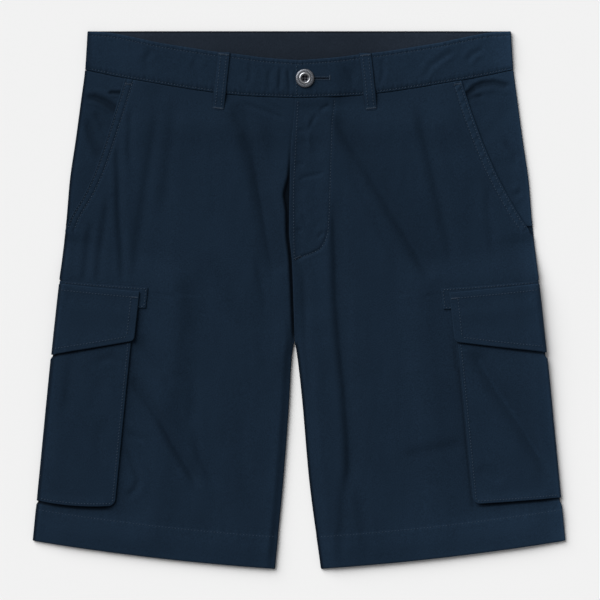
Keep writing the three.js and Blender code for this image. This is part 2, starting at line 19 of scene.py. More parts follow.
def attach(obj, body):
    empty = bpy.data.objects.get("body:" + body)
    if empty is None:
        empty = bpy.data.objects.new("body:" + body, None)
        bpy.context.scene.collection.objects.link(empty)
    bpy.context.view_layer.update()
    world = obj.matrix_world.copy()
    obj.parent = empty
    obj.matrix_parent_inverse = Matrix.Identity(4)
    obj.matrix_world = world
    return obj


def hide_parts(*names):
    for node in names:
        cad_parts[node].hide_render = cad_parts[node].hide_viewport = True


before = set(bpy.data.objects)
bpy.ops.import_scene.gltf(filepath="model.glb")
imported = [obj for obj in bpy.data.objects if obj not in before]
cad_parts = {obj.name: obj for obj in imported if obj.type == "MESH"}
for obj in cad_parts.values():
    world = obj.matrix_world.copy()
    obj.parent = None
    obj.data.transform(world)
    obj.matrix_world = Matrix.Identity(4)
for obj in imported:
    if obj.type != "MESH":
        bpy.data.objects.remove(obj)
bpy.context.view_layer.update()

LOG = logging.getLogger("shorts")
MM = 0.001
# Clearance between two pieces that meet at a seam
GAP = 0.3
# The wearer's right half lies a little wider than the plan
RIGHT_STRETCH = 1.005

Values = float | np.ndarray
Points = tuple[tuple[float, float], ...]


class Hand(Enum):
    """Side of the garment, as the wearer has it."""

    LEFT = 1
    RIGHT = -1

    @property
    def word(self) -> str:
        """The side's name as the pieces carry it."""
        return self.name.lower()

    def pick(self, left, right):
        """The first value on the wearer's left and the second on the right."""
        return left if self is Hand.LEFT else right


class Slot(Enum):
    """Material slots of the part's record."""

    CLOTH = "navy_cloth"
    INSIDE = "cloth_inside"
    THREAD = "sewing_thread"
    METAL = "button_metal"


def mix(start: Values, end: Values, share: Values) -> Values:
    """Straight blend from start to end."""
    return start + (end - start) * share


def ramp(value: Values, none: Values, full: Values) -> np.ndarray:
    """Smooth rise from 0 where the value is none to 1 where it is full, level at both ends."""
    share = np.clip((np.asarray(value, dtype=float) - none) / (full - none), 0.0, 1.0)
    return share * share * (3.0 - 2.0 * share)


def bell(distance: Values, width: Values) -> np.ndarray:
    """Smooth hump of height 1 and the given half width."""
    return np.exp(-((np.asarray(distance) / width) ** 2))


def floored(rise: np.ndarray, low: float, give: float) -> np.ndarray:
    """Rise pressed flat below the low, by the give at most, as on the layer underneath."""
    return np.where(rise < low, low - give * np.tanh((low - rise) / give), rise)


def spaced(stops: list[float], pitches: list[float]) -> np.ndarray:
    """Numbers from the first stop to the last, with a pitch for each stretch.

    Args:
        stops: ends of the stretches, all rising or all falling.
        pitches: largest step in each stretch.

    Returns:
        The numbers, each stop among them.
    """
    parts = []
    for start, end, pitch in zip(stops[:-1], stops[1:], pitches):
        count = max(1, math.ceil(abs(end - start) / pitch))
        parts.append(np.linspace(start, end, count, endpoint=False))
    return np.concatenate([*parts, [stops[-1]]])


def path_of(x: np.ndarray, y: np.ndarray) -> Points:
    """Line through the places."""
    return tuple(zip(x.tolist(), y.tolist()))


@dataclass(frozen=True)
class Curve:
    """Smooth line through measured points, read by its first coordinate."""

    points: Points

    def at(self, where: Values) -> np.ndarray:
        """Second coordinate of the line, with no overshoot between the points.

        Args:
            where: first coordinate, held within the line's ends.

        Returns:
            The line's second coordinate there.
        """
        keys, values = np.array(sorted(self.points), dtype=float).T
        steps = np.diff(keys)
        rises = np.diff(values) / steps
        same = rises[:-1] * rises[1:] > 0.0
        both = np.where(same, rises[:-1] + rises[1:], 1.0)
        inner = np.where(same, 2.0 * rises[:-1] * rises[1:] / both, 0.0)
        slopes = np.concatenate([[rises[0]], inner, [rises[-1]]])
        place = np.clip(np.asarray(where, dtype=float), keys[0], keys[-1])
        index = np.clip(np.searchsorted(keys, place, side="right") - 1, 0, len(steps) - 1)
        step = steps[index]
        share = (place - keys[index]) / step
        square, cube = share**2, share**3
        return (
            (2 * cube - 3 * square + 1) * values[index]
            + (cube - 2 * square + share) * step * slopes[index]
            + (3 * square - 2 * cube) * values[index + 1]
            + (cube - square) * step * slopes[index + 1]
        )


def curve(*numbers: float) -> Curve:
    """Curve through points given as pairs of numbers."""
    return Curve(tuple(zip(numbers[::2], numbers[1::2])))


@dataclass(frozen=True)
class Fold:
    """One crease of the laid cloth: a trough with a steep and a gentle side and soft shoulders.

    The width is on the right of the path's direction and the spread on its left.
    """

    path: Points
    depth: float
    width: float
    spread: float
    shoulder: float
    fade: float

    def measured(self, x: np.ndarray, y: np.ndarray) -> tuple[np.ndarray, np.ndarray, np.ndarray]:
        """Where places lie on the crease.

        Args:
            x: places across the garment.
            y: places along the garment.

        Returns:
            Distance from the path, half width there and how much is left toward the ends.
        """
        off, share = signed_distance(self.path, x, y)
        ends = ramp(share, 0.0, self.fade) * ramp(share, 1.0, 1.0 - self.fade)
        return off, np.where(off > 0, self.spread, self.width), ends

    def height(self, x: np.ndarray, y: np.ndarray) -> np.ndarray:
        """Rise of the cloth that this crease makes.

        Args:
            x: places across the garment.
            y: places along the garment.

        Returns:
            The rise in millimetres, negative in the trough.
        """
        off, wide, ends = self.measured(x, y)
        trough = -self.depth * bell(off, wide)
        ridge = self.shoulder * bell(np.abs(off) / wide - 2.0, 1.0)
        return (trough + ridge) * ends

    def shade(self, x: np.ndarray, y: np.ndarray) -> np.ndarray:
        """Depth of the crease, spread out wider than the trough itself."""
        off, wide, ends = self.measured(x, y)
        return max(self.depth, 0.0) * bell(off, 1.7 * wide) * ends


def folds(*rows: tuple) -> tuple[Fold, ...]:
    """Creases from rows of depth, width, spread, shoulder, fade and the path's x and y in turn."""
    return tuple(Fold(tuple(zip(path[::2], path[1::2])), *sizes) for *sizes, path in rows)


def signed_distance(path: Points, x: np.ndarray, y: np.ndarray) -> tuple[np.ndarray, np.ndarray]:
    """Distance from a line and how far along it the nearest point lies.

    Args:
        path: points of the line.
        x: places across the garment.
        y: places along the garment.

    Returns:
        The distance, positive to the left of the line's direction, and the share of its length.
    """
    points = np.array(path, dtype=float)
    lengths = np.hypot(*np.diff(points, axis=0).T)
    starts = np.concatenate([[0.0], np.cumsum(lengths)])
    best = np.full(np.shape(x), np.inf)
    side = np.zeros(np.shape(x))
    share = np.zeros(np.shape(x))
    for (ax, ay), (bx, by), length, start in zip(points[:-1], points[1:], lengths, starts):
        ux, uy = (bx - ax) / length, (by - ay) / length
        along = np.clip((x - ax) * ux + (y - ay) * uy, 0.0, length)
        dx, dy = x - ax - along * ux, y - ay - along * uy
        distance = np.hypot(dx, dy)
        nearer = distance < best
        best = np.where(nearer, distance, best)
        side = np.where(nearer, np.sign(ux * dy - uy * dx), side)
        share = np.where(nearer, (start + along) / starts[-1], share)
    return best * side, share


@dataclass(frozen=True)
class Unevenness:
    """Low random swell of cloth that has been used and washed."""

    seed: int
    scale: float
    amount: float
    stretch: float = 1.0

    def height(self, x: np.ndarray, y: np.ndarray) -> np.ndarray:
        """Smooth random rise at each place.

        Args:
            x: places across the garment.
            y: places along the garment.

        Returns:
            The rise in millimetres, about plus or minus the amount.
        """
        lattice = np.random.default_rng(self.seed).uniform(-1.0, 1.0, (257, 257))
        u = (np.asarray(x) + 400.0) / self.scale
        v = (np.asarray(y) + 400.0) / (self.scale * self.stretch)
        column, row = np.floor(u).astype(int) % 256, np.floor(v).astype(int) % 256
        right, up = ramp(u % 1.0, 0.0, 1.0), ramp(v % 1.0, 0.0, 1.0)
        low = mix(lattice[row, column], lattice[row, column + 1], right)
        high = mix(lattice[row + 1, column], lattice[row + 1, column + 1], right)
        return self.amount * mix(low, high, up)


def total(parts: Iterable[Fold | Unevenness], x: np.ndarray, y: np.ndarray) -> Values:
    """Rise of several creases or swells together."""
    return sum(part.height(x, y) for part in parts)


@dataclass(frozen=True)
class Plan:
    """Outline and seams of the laid garment. Curves with two parts give the left one first."""

    side_line: Curve = curve(
        277, 218, 237, 220.5, 206, 224.5, 165, 230, 123.5, 236, 82.5, 239.5, 41, 244, 20.5, 246.7, -248, 274
    )
    fly_edge: Curve = curve(247, -4.9, 208, -4.9, 157, -9, 113, -10.6, 73, -11.1, 37, -8, -42.2, -5.4)
    inseams: tuple[Curve, Curve] = (
        curve(-42.2, 0, -62, 3, -103, 7.5, -185, 14.7, -277, 27),
        curve(-42.2, 0, -62, 2.6, -103, 4.9, -185, 11, -277, 19.8),
    )
    slants: tuple[Curve, Curve] = (
        curve(228, 166, 185, 180, 135, 200.3, 110, 213, 85, 227.5, 72, 236.5),
        curve(228, 179, 185, 192.5, 135, 209.3, 110, 220.5, 85, 235, 72, 240.4),
    )
    band_seam: Curve = curve(
        0, 208, 36, 209.3, 60, 210.6, 88, 213.8, 117, 218, 144, 222.5, 174, 227.6, 196, 232, 218, 236.8
    )
    band_top: Curve = curve(
        0, 246.8, 36, 249.6, 60, 252.8, 88, 256, 117, 260.6, 144, 265, 174, 271.5, 196, 275.5, 218, 277
    )
    waist_top: float = 277.0
    waist_seam_side: float = 237.0
    top_row: float = 226.6
    seat_row: float = 236.85
    slant_row: float = 72.0
    thigh_row: float = 60.0
    hem_row: float = -215.0
    hem_side: float = -248.0
    hem_inseam: float = -277.0
    crotch_x: float = -5.4
    crotch_y: float = -42.2
    row_bow: float = 3.0
    pocket_inset: float = 1.5
    flap_inset: float = 2.0
    bag_bottom: float = -206.3
    bag_raised: float = 3.0
    bag_skew: float = 5.0
    bag_bow: float = -2.6

    def side(self, level: Values) -> np.ndarray:
        """Half width of the garment at a row."""
        return self.side_line.at(level)

    def leg_side(self, level: Values) -> np.ndarray:
        """Half width of a leg panel, drawn in where the cargo pocket wraps round it."""
        inset = self.pocket_inset * ramp(level, 22, 18) * ramp(level, -211, -207.5)
        return self.side(level) - inset - self.under_flap(level)

    def under_flap(self, level: Values) -> np.ndarray:
        """How far the layers under the cargo flap are drawn in at the side."""
        return self.flap_inset * ramp(level, 21.5, 17.5) * ramp(level, -61, -57)

    def slant(self, hand: Hand, y: Values) -> np.ndarray:
        """Half width at which the slanted pocket's edge lies."""
        return hand.pick(*self.slants).at(y)

    def inner_x(self, hand: Hand, y: Values) -> np.ndarray:
        """Place of the inseam across the garment, the same above and below the middle."""
        return self.crotch_x + hand.value * (hand.pick(*self.inseams).at(-np.abs(y)) + GAP / 2)

    def inner_y(self, level: Values) -> Values:
        """Height on the middle line or the inseam at which a row of the leg ends."""
        share = (self.top_row - level) / (self.top_row - self.hem_side)
        return mix(float(self.band_seam.at(0.0)), self.hem_inseam, share)

    def drop(self, level: Values, inward: Values) -> Values:
        """How far a row has dropped, a distance in from the side seam."""
        share = np.clip(inward / (self.side(level) + 6.0), 0.0, 1.0)
        return (level - self.inner_y(level)) * share + self.row_bow * 4 * share * (1 - share)

    def level_of(self, y: Values, inward: Values) -> np.ndarray:
        """Row that passes a place, the opposite of place().

        Args:
            y: place along the garment.
            inward: distance in from the side seam.

        Returns:
            The row's level.
        """
        level = np.asarray(y, dtype=float)
        for _ in range(3):
            level = y + self.drop(level, inward)
        return level

    def place(self, hand: Hand, level: Values, inward: Values) -> tuple[np.ndarray, np.ndarray]:
        """Place across and along of a row, a distance in from the side seam."""
        return hand.value * (self.side(level) - inward), level - self.drop(level, inward)

    def bag_low(self, hand: Hand) -> float:
        """Level of the cargo pocket's bottom edge at the side seam."""
        return self.bag_bottom + hand.pick(self.bag_raised, 0.0)

    def bag_sag(self, hand: Hand, share: Values) -> Values:
        """Bow of the cargo pocket's bottom edge at a share of its width."""
        return hand.pick(0.0, self.bag_bow) * 4 * share * (1 - share)


@dataclass(frozen=True)
class Lie:
    """Heights at which the layers lie on each other."""

    plan: Plan
    folds: tuple[Fold, ...]
    fly_folds: tuple[Fold, ...]
    back_folds: tuple[Fold, ...]
    swell: tuple[Unevenness, ...]
    cloth: float = 1.2
    band: float = 2.2
    trim: float = 1.0
    strap: float = 1.5
    hem_extra: float = 0.5
    loft: float = 2.2
    band_loft: float = 2.7
    band_step: float = 2.5
    fly_step: float = 1.5
    slant_step: float = 1.5
    lap_rise: float = 1.1
    puff: float = 2.8
    crevice_depth: float = 0.8
    placket_swell: Unevenness = Unevenness(52, 8.5, 0.3)
    fly_gap: Curve = curve(
        215, 0.4, 150, 0.4, 128, 1.2, 118, 3.4, 108, 5.2, 98, 3.6, 88, 2.4, 55, 2.0, 20, 1.7, -42, 1.3
    )
    fly_shoulder: Curve = curve(215, 0, 165, 0.3, 135, 1.5, 110, 2.6, 50, 2.6, 0, 2.0, -42, 0.9)

    def pocket_lift(self, level: Values, inward: Values) -> np.ndarray:
        """Rise over the parts of the cargo pocket and its flap that lie under the back."""
        bag = (self.cloth + GAP) * ramp(level, 60, 25) * ramp(level, -250, -212)
        flap = (self.strap + GAP) * ramp(level, 60, 25) * self.under_back(level)
        return (bag + flap) * ramp(inward, 148, 114)

    def under_back(self, level: Values) -> np.ndarray:
        """How much of the flap's thickness is left below it, under the back."""
        return ramp(level, -150, -62)

    def loop_lift(self, x: np.ndarray, y: Values) -> np.ndarray:
        """Rise over the back belt loops under the waist."""
        return (self.strap + GAP) * ramp(np.abs(x), 200, 150) * ramp(y, 150, 185)

    def back(self, level: Values, inward: Values, x: np.ndarray, y: Values) -> np.ndarray:
        """Height that the back's middle surface has without its creases."""
        return self.cloth / 2 + self.pocket_lift(level, inward) + self.loop_lift(x, y)

    def creased_back(self, level: Values, inward: Values, x: np.ndarray, y: Values) -> np.ndarray:
        """Height of the back's middle surface, with its own creases off the table."""
        settled = ramp(inward, 4, 24) * ramp(y, -255, -225) * ramp(y, 225, 200)
        return self.back(level, inward, x, y) + total(self.back_folds, x, y) * settled

    def relief(self, hand: Hand, level: Values, inward: Values, x: np.ndarray, y: Values) -> np.ndarray:
        """Rise of the front between its seams, with its creases.

        Args:
            hand: side of the garment.
            level: row at the side seam.
            inward: distance in from the side seam.
            x: place across the garment.
            y: place along the garment.

        Returns:
            The rise in millimetres. Creases reach close to a seam and the swell stays off it.
        """
        plan = self.plan
        pocket = ramp(level, 29, 21) * ramp(level, -240, -214)
        settled = ramp(level, 165, 22) * ramp(level, -246, -206)
        bag_edge = hand.pick(92.0, 81.0)
        slant_gap = plan.slant(hand, y) - np.abs(x)
        on_slant = ramp(level, plan.slant_row - 12, plan.slant_row)
        inner = np.abs(x - plan.inner_x(hand, np.minimum(y, plan.crotch_y)))
        from_fly = hand.value * (x - plan.crotch_x)
        seam_gap = plan.band_seam.at(np.abs(x)) - y
        fly_end = hand.pick(27.0, 3.0)
        fly_share = mix(ramp(inner, 2, 9), ramp(from_fly, fly_end, fly_end + 11), ramp(y, 20, 55))
        sharp = (
            mix(ramp(inward, 1, 10), ramp(inward, bag_edge + 1, bag_edge + 9), pocket)
            * mix(1.0, ramp(slant_gap, 8, 17), on_slant)
            * fly_share
            * ramp(seam_gap, 1, 12)
        )
        soft = (
            mix(ramp(inward, 1, 40), ramp(inward, bag_edge + 4, bag_edge + 44), settled)
            * mix(1.0, ramp(slant_gap, 8, 48), on_slant)
            * mix(ramp(inner, 1, hand.pick(17.0, 10.0)), ramp(from_fly, 20, 48), ramp(y, -60, 0))
            * ramp(seam_gap, 2, 44)
            * mix(0.5, 1.0, ramp(level, plan.hem_side, plan.hem_side + 22))
        )
        swell = self.puff + total(self.swell, x, y)
        return floored(swell * soft + total(self.folds, x, y) * sharp, -0.3, 0.65)

    def fly(self, hand: Hand, x: np.ndarray, y: Values) -> np.ndarray:
        """Rise and fall beside the edge at which the left front laps over the right.

        Args:
            hand: side of the garment.
            x: place across the garment.
            y: place along the garment.

        Returns:
            The rise in millimetres.
        """
        off = self.plan.fly_edge.at(y) - x
        if hand is Hand.LEFT:
            lap = self.fly_step * ramp(x, 46, 22) * ramp(y, self.plan.crotch_y, -16)
            edge = 1.4 * bell(np.minimum(off, 0.0), 6.0) * ramp(y, -38, 0) * ramp(y, 200, 150)
            on_placket = ramp(x, 31, 25) * ramp(y, 32, 52) * ramp(y, 208, 198)
            puckers = total(self.fly_folds, x, y) + self.placket_swell.height(x, y) * on_placket
            return lap + edge + puckers * ramp(-off, 0.5, 3)
        gap = self.fly_gap.at(y)
        rise = self.fly_shoulder.at(y) * ramp(off, gap, gap + 2.6) * (1 - ramp(off, gap + 5, gap + 36))
        return rise - self.crevice_depth * ramp(off, gap + 1.5, gap) * ramp(y, 155, 126) * ramp(y, -42, -20)

    def crevice(self, x: np.ndarray, y: np.ndarray) -> np.ndarray:
        """Share of the colour that is left down in the fly's crevice, which is in deep shade.

        Args:
            x: place across the garment.
            y: place along the garment.

        Returns:
            The share.
        """
        off = self.plan.fly_edge.at(y) - x
        gap = self.fly_gap.at(y)
        inside = ramp(off, gap + 2.4, gap + 0.7) * ramp(off, -16, -14) * ramp(y, 148, 122) * ramp(y, -44, -34)
        return 1.0 - 0.72 * inside

    def slant_seam(self, hand: Hand, level: Values, x: np.ndarray, y: Values) -> np.ndarray:
        """Grooves and puckers of the two sewn rows along the slanted pocket's edge.

        Args:
            hand: side of the garment.
            level: row at the side seam.
            x: place across the garment.
            y: place along the garment.

        Returns:
            The rise in millimetres.
        """
        off = self.plan.slant(hand, y) - np.abs(x)
        rows = -0.5 * bell(off - 2.2, 0.9) - 0.7 * bell(off - 9.0, 1.1)
        wave = np.sin(2 * np.pi * (y + 0.6 * off) / 6.3) + 0.6 * np.sin(2 * np.pi * (y + off) / 9.7 + 1.3)
        puckers = 0.3 * wave * bell(off - 5.6, 3.4)
        return (rows + puckers) * ramp(level, 66, 76)

    def front(self, hand: Hand, level: Values, inward: Values, x: np.ndarray, y: Values) -> np.ndarray:
        """Height of the front's middle surface.

        Args:
            hand: side of the garment.
            level: row at the side seam.
            inward: distance in from the side seam.
            x: place across the garment.
            y: place along the garment.

        Returns:
            The height in millimetres.
        """
        height = self.back(level, inward, x, y) + self.loft + self.relief(hand, level, inward, x, y)
        edge = self.plan.slant(hand, y) - np.abs(x)
        height = height + self.slant_step * ramp(edge, 44, 19) * ramp(level, 60, 72)
        if hand is Hand.LEFT:
            to_seam = self.plan.band_seam.at(np.abs(x)) - y
            height = height + self.lap_rise * ramp(to_seam, 12, 1.5) * ramp(x, 58, 34)
        hem = self.plan.hem_row - level
        sewn = -0.3 * bell(hem - 0.8, 1.0) + 0.14 * np.sin(2 * np.pi * x / 8.3) * bell(hem, 4.5)
        return height + self.fly(hand, x, y) + self.slant_seam(hand, level, x, y) + sewn


def end_profile(turn: np.ndarray, thickness: float, loft: float) -> tuple[np.ndarray, ...]:
    """Close points at a sheet's edge, from free and flat to turned down to a seam.

    Args:
        turn: 0 for a free edge to 1 for a seam, one number for each row.
        thickness: the sheet's thickness.
        loft: height between the two sheets that meet at the seam.

    Returns:
        Inset, fall and share of the thickness, each with rows and seven points.
    """
    turn = np.asarray(turn, dtype=float)[:, None]
    radius = loft / 2
    angle = np.radians([0, 12, 26, 42, 58, 74, 90])
    turned = thickness / 2 + radius * (1 - np.cos(angle))
    fall = turn * (radius - GAP / 2) * (1 - np.sin(angle))
    free = np.array([0.0, 0.1, 0.3, 0.6, 1.0, 1.5, 2.0])
    round_off = np.array([0.35, 0.62, 0.85, 0.96, 1.0, 1.0, 1.0])
    inset = mix(free, turned, turn)
    return inset, fall, mix(round_off, np.maximum(round_off, 0.7), turn)


def rim_profile(count: int) -> np.ndarray:
    """Share of the thickness at each row, rounded off at both ends.

    Args:
        count: number of rows.

    Returns:
        One share for each row.
    """
    rim = np.ones(count)
    rim[:4] = [0.35, 0.65, 0.88, 1.0]
    rim[-4:] = [1.0, 0.88, 0.65, 0.35]
    return rim


@dataclass
class Shell:
    """Closed sheet of cloth, given by its middle surface and its thickness."""

    middle: np.ndarray
    thickness: np.ndarray

    def surfaces(self) -> np.ndarray:
        """Points of both faces.

        Returns:
            The points by side, row, column and coordinate.
        """
        down = np.gradient(self.middle, axis=0)
        across = np.gradient(self.middle, axis=1)
        normal = np.cross(down, across)
        normal /= np.linalg.norm(normal, axis=2, keepdims=True) + 1e-12
        half = normal * self.thickness[..., None] / 2
        return np.stack([self.middle + half, self.middle - half])

    def quads(self) -> np.ndarray:
        """Faces of the closed sheet, all facing outward.

        Returns:
            Corner numbers, four to a face.
        """
        deep, wide = self.thickness.shape
        first, second = np.arange(2 * deep * wide).reshape(2, deep, wide)

        def patch(*corners: np.ndarray) -> np.ndarray:
            """Faces from grids of their first to fourth corners."""
            return np.stack([corner.ravel() for corner in corners], axis=1)

        return np.concatenate(
            [
                patch(first[:-1, :-1], first[1:, :-1], first[1:, 1:], first[:-1, 1:]),
                patch(second[:-1, :-1], second[:-1, 1:], second[1:, 1:], second[1:, :-1]),
                patch(first[:-1, 0], second[:-1, 0], second[1:, 0], first[1:, 0]),
                patch(first[1:, -1], second[1:, -1], second[:-1, -1], first[:-1, -1]),
                patch(first[0, 1:], second[0, 1:], second[0, :-1], first[0, :-1]),
                patch(first[-1, :-1], second[-1, :-1], second[-1, 1:], first[-1, 1:]),
            ]
        )

    def flat_size(self) -> tuple[float, float, float]:
        """Width, length and area of the middle surface when it is laid out flat, in metres.

        Returns:
            The width, the length and the area.
        """
        steps_down = np.linalg.norm(np.diff(self.middle, axis=0), axis=2)
        steps_across = np.linalg.norm(np.diff(self.middle, axis=1), axis=2)
        length, width = steps_down.sum(axis=0).max(), steps_across.sum(axis=1).max()
        down = np.diff(self.middle, axis=0)[:, :-1]
        across = np.diff(self.middle, axis=1)[:-1]
        area = np.linalg.norm(np.cross(down, across), axis=2).sum()
        return width * MM, length * MM, min(area * MM * MM, width * length * MM * MM)


def mesh_piece(
    name: str, points: np.ndarray, faces: np.ndarray, finish: "Finish", slot: Slot
) -> bpy.types.Object:
    """Object from points and faces, with its finish.

    Args:
        name: the piece's name.
        points: corners in millimetres.
        faces: corner numbers, one row for each face.
        finish: finish whose material dresses the piece.
        slot: slot of the record that the finish belongs to; not used.

    Returns:
        The new object, which rides on the part.
    """
    points = points * np.where(points[:, :1] < 0, [[RIGHT_STRETCH, 1.0, 1.0]], 1.0)
    mesh = bpy.data.meshes.new(name)
    mesh.vertices.add(len(points))
    mesh.vertices.foreach_set("co", (points * MM).astype(np.float32).ravel())
    mesh.loops.add(faces.size)
    mesh.loops.foreach_set("vertex_index", faces.astype(np.int32).ravel())
    mesh.polygons.add(len(faces))
    mesh.polygons.foreach_set("loop_start", np.arange(0, faces.size, faces.shape[1], dtype=np.int32))
    mesh.polygons.foreach_set("use_smooth", np.ones(len(faces), dtype=bool))
    mesh.update(calc_edges=True)
    mesh.validate()
    mesh.materials.append(finish.material())
    piece = bpy.data.objects.new(name, mesh)
    bpy.context.scene.collection.objects.link(piece)
    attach(piece, "root")
    LOG.info("%s: %d corners, %d faces", name, len(points), len(faces))
    return piece


def set_tone(piece: bpy.types.Object, tone: np.ndarray) -> None:
    """Stores how much lighter or darker than its finish each corner of a piece is, painted light and shade
    included.
    """
    layer = piece.data.attributes.new("tone", "FLOAT", "POINT")
    layer.data.foreach_set("value", np.asarray(tone, dtype=np.float32).ravel())


def feed(node: bpy.types.Node, feeds: dict) -> None:
    """Sets inputs of a shader node.

    Args:
        node: the node.
        feeds: by the input's name or number, its value or the output to link it to.
    """
    for key, value in feeds.items():
        if isinstance(value, bpy.types.NodeSocket):
            node.id_data.links.new(value, node.inputs[key])
        else:
            node.inputs[key].default_value = value


def output_of(
    tree: bpy.types.NodeTree, kind: str, output: str, feeds: dict, **options: str
) -> bpy.types.NodeSocket:
    """Adds a shader node.

    Args:
        tree: node tree of the material.
        kind: Blender's name of the node, after ShaderNode.
        output: name of the output that is used.
        feeds: what its inputs are set or linked to.
        options: the node's own settings.

    Returns:
        The output.
    """
    node = tree.nodes.new(f"ShaderNode{kind}")
    for name, value in options.items():
        setattr(node, name, value)
    feed(node, feeds)
    return node.outputs[output]


@dataclass(frozen=True)
class Finish:
    """Look of a surface."""

    name: str
    colour: tuple[float, float, float]
    roughness: float

    def material(self) -> bpy.types.Material:
        """The finish's material, made once.

        Returns:
            The Blender material.
        """
        known = bpy.data.materials.get(self.name)
        if known:
            return known
        material = bpy.data.materials.new(self.name)
        material.use_nodes = True
        self.dress(material.node_tree, material.node_tree.nodes["Principled BSDF"])
        return material


@dataclass(frozen=True)
class Twill(Finish):
    """Brushed cotton twill: matt, with fine slanting ribs and a mottle, scaled by the tone attribute, which
    carries painted light and shade.
    """

    roughness: float = 0.9
    sheen: float = 0.025
    rib_pitch: float = 0.9
    rib_depth: float = 0.05
    rib_slant: float = 58.0
    unevenness: float = 0.75
    cloud_share: float = 0.16

    def mottled(self, sign: int) -> tuple[float, ...]:
        """Darkest colour of the mottle for a sign of -1 and lightest for 1."""
        tone_shift = sign * self.unevenness
        return (*(part * (1 + tone_shift * share) for part, share in zip(self.colour, (1, 0.96, 0.92))), 1.0)

    def dress(self, tree: bpy.types.NodeTree, shader: bpy.types.Node) -> None:
        """Fills the material's node tree.

        Args:
            tree: the node tree.
            shader: its main shader.
        """
        where = output_of(tree, "TexCoord", "Object", {})
        mottle, cloud = (
            output_of(tree, "TexNoise", "Fac", {"Vector": where, "Scale": scale, "Detail": 4.0})
            for scale in (950.0, 28.0)
        )
        scaled = output_of(tree, "Math", "Value", {0: mottle, 1: 1 - self.cloud_share}, operation="MULTIPLY")
        both = {0: cloud, 1: self.cloud_share, 2: scaled}
        share = output_of(tree, "Math", "Value", both, operation="MULTIPLY_ADD")
        ends = {"Factor": share, "A": self.mottled(-1), "B": self.mottled(1)}
        tint = output_of(tree, "Mix", "Result", ends, data_type="RGBA")
        tone = output_of(tree, "Attribute", "Fac", {}, attribute_name="tone")
        shaded_tint = output_of(tree, "VectorMath", "Vector", {0: tint, "Scale": tone}, operation="SCALE")
        slant = (0.0, 0.0, math.radians(self.rib_slant))
        turned = output_of(tree, "Mapping", "Vector", {"Vector": where, "Rotation": slant})
        scale = 1000.0 / (self.rib_pitch * 20.0) * math.pi / 1.57
        wave = {"Vector": turned, "Scale": scale, "Distortion": 1.2, "Detail": 1.0}
        ribs = output_of(tree, "TexWave", "Fac", wave)
        surface = output_of(tree, "Math", "Value", {0: ribs, 1: 0.6, 2: mottle}, operation="MULTIPLY_ADD")
        relief = {"Strength": 0.5, "Distance": self.rib_depth * MM, "Height": surface}
        feeds = {
            "Base Color": shaded_tint,
            "Roughness": self.roughness,
            "Specular IOR Level": 0.05,
            "Sheen Weight": self.sheen,
            "Sheen Roughness": 0.5,
            "Sheen Tint": (0.55, 0.68, 0.85, 1.0),
            "Normal": output_of(tree, "Bump", "Normal", relief),
        }
        feed(shader, feeds)


@dataclass(frozen=True)
class Plain(Finish):
    """Even finish with no pattern."""

    metallic: float = 0.0
    specular: float = 0.3

    def dress(self, _tree: bpy.types.NodeTree, shader: bpy.types.Node) -> None:
        """Sets the main shader.

        Args:
            _tree: the node tree, which gets no further nodes.
            shader: its main shader.
        """
        feeds = {
            "Base Color": (*self.colour, 1.0),
            "Roughness": self.roughness,
            "Metallic": self.metallic,
            "Specular IOR Level": self.specular,
        }
        feed(shader, feeds)


NAVY = Twill("navy_twill", (0.0074, 0.0167, 0.0315))
NAVY_INSIDE = Twill("navy_twill_inside", (0.0125, 0.018, 0.0275), unevenness=0.95)
NAVY_THREAD = Plain("navy_thread", (0.025, 0.043, 0.071), 0.6)
DULL_METAL = Plain("dull_metal", (0.16, 0.17, 0.19), 0.42, metallic=0.9)
BRIGHT_METAL = Plain("bright_metal", (0.42, 0.43, 0.45), 0.3, metallic=0.95)
DARK_METAL = Plain("dark_metal", (0.075, 0.08, 0.092), 0.5, metallic=0.6)
# Near-black discs of painted shade for the button's holes.
HOLE_SHADE = Plain("button_hole_shade", (0.004, 0.004, 0.006), 0.9, specular=0.05)
PALE = Plain("pale_surface", (0.88, 0.88, 0.88), 0.9, specular=0.05)


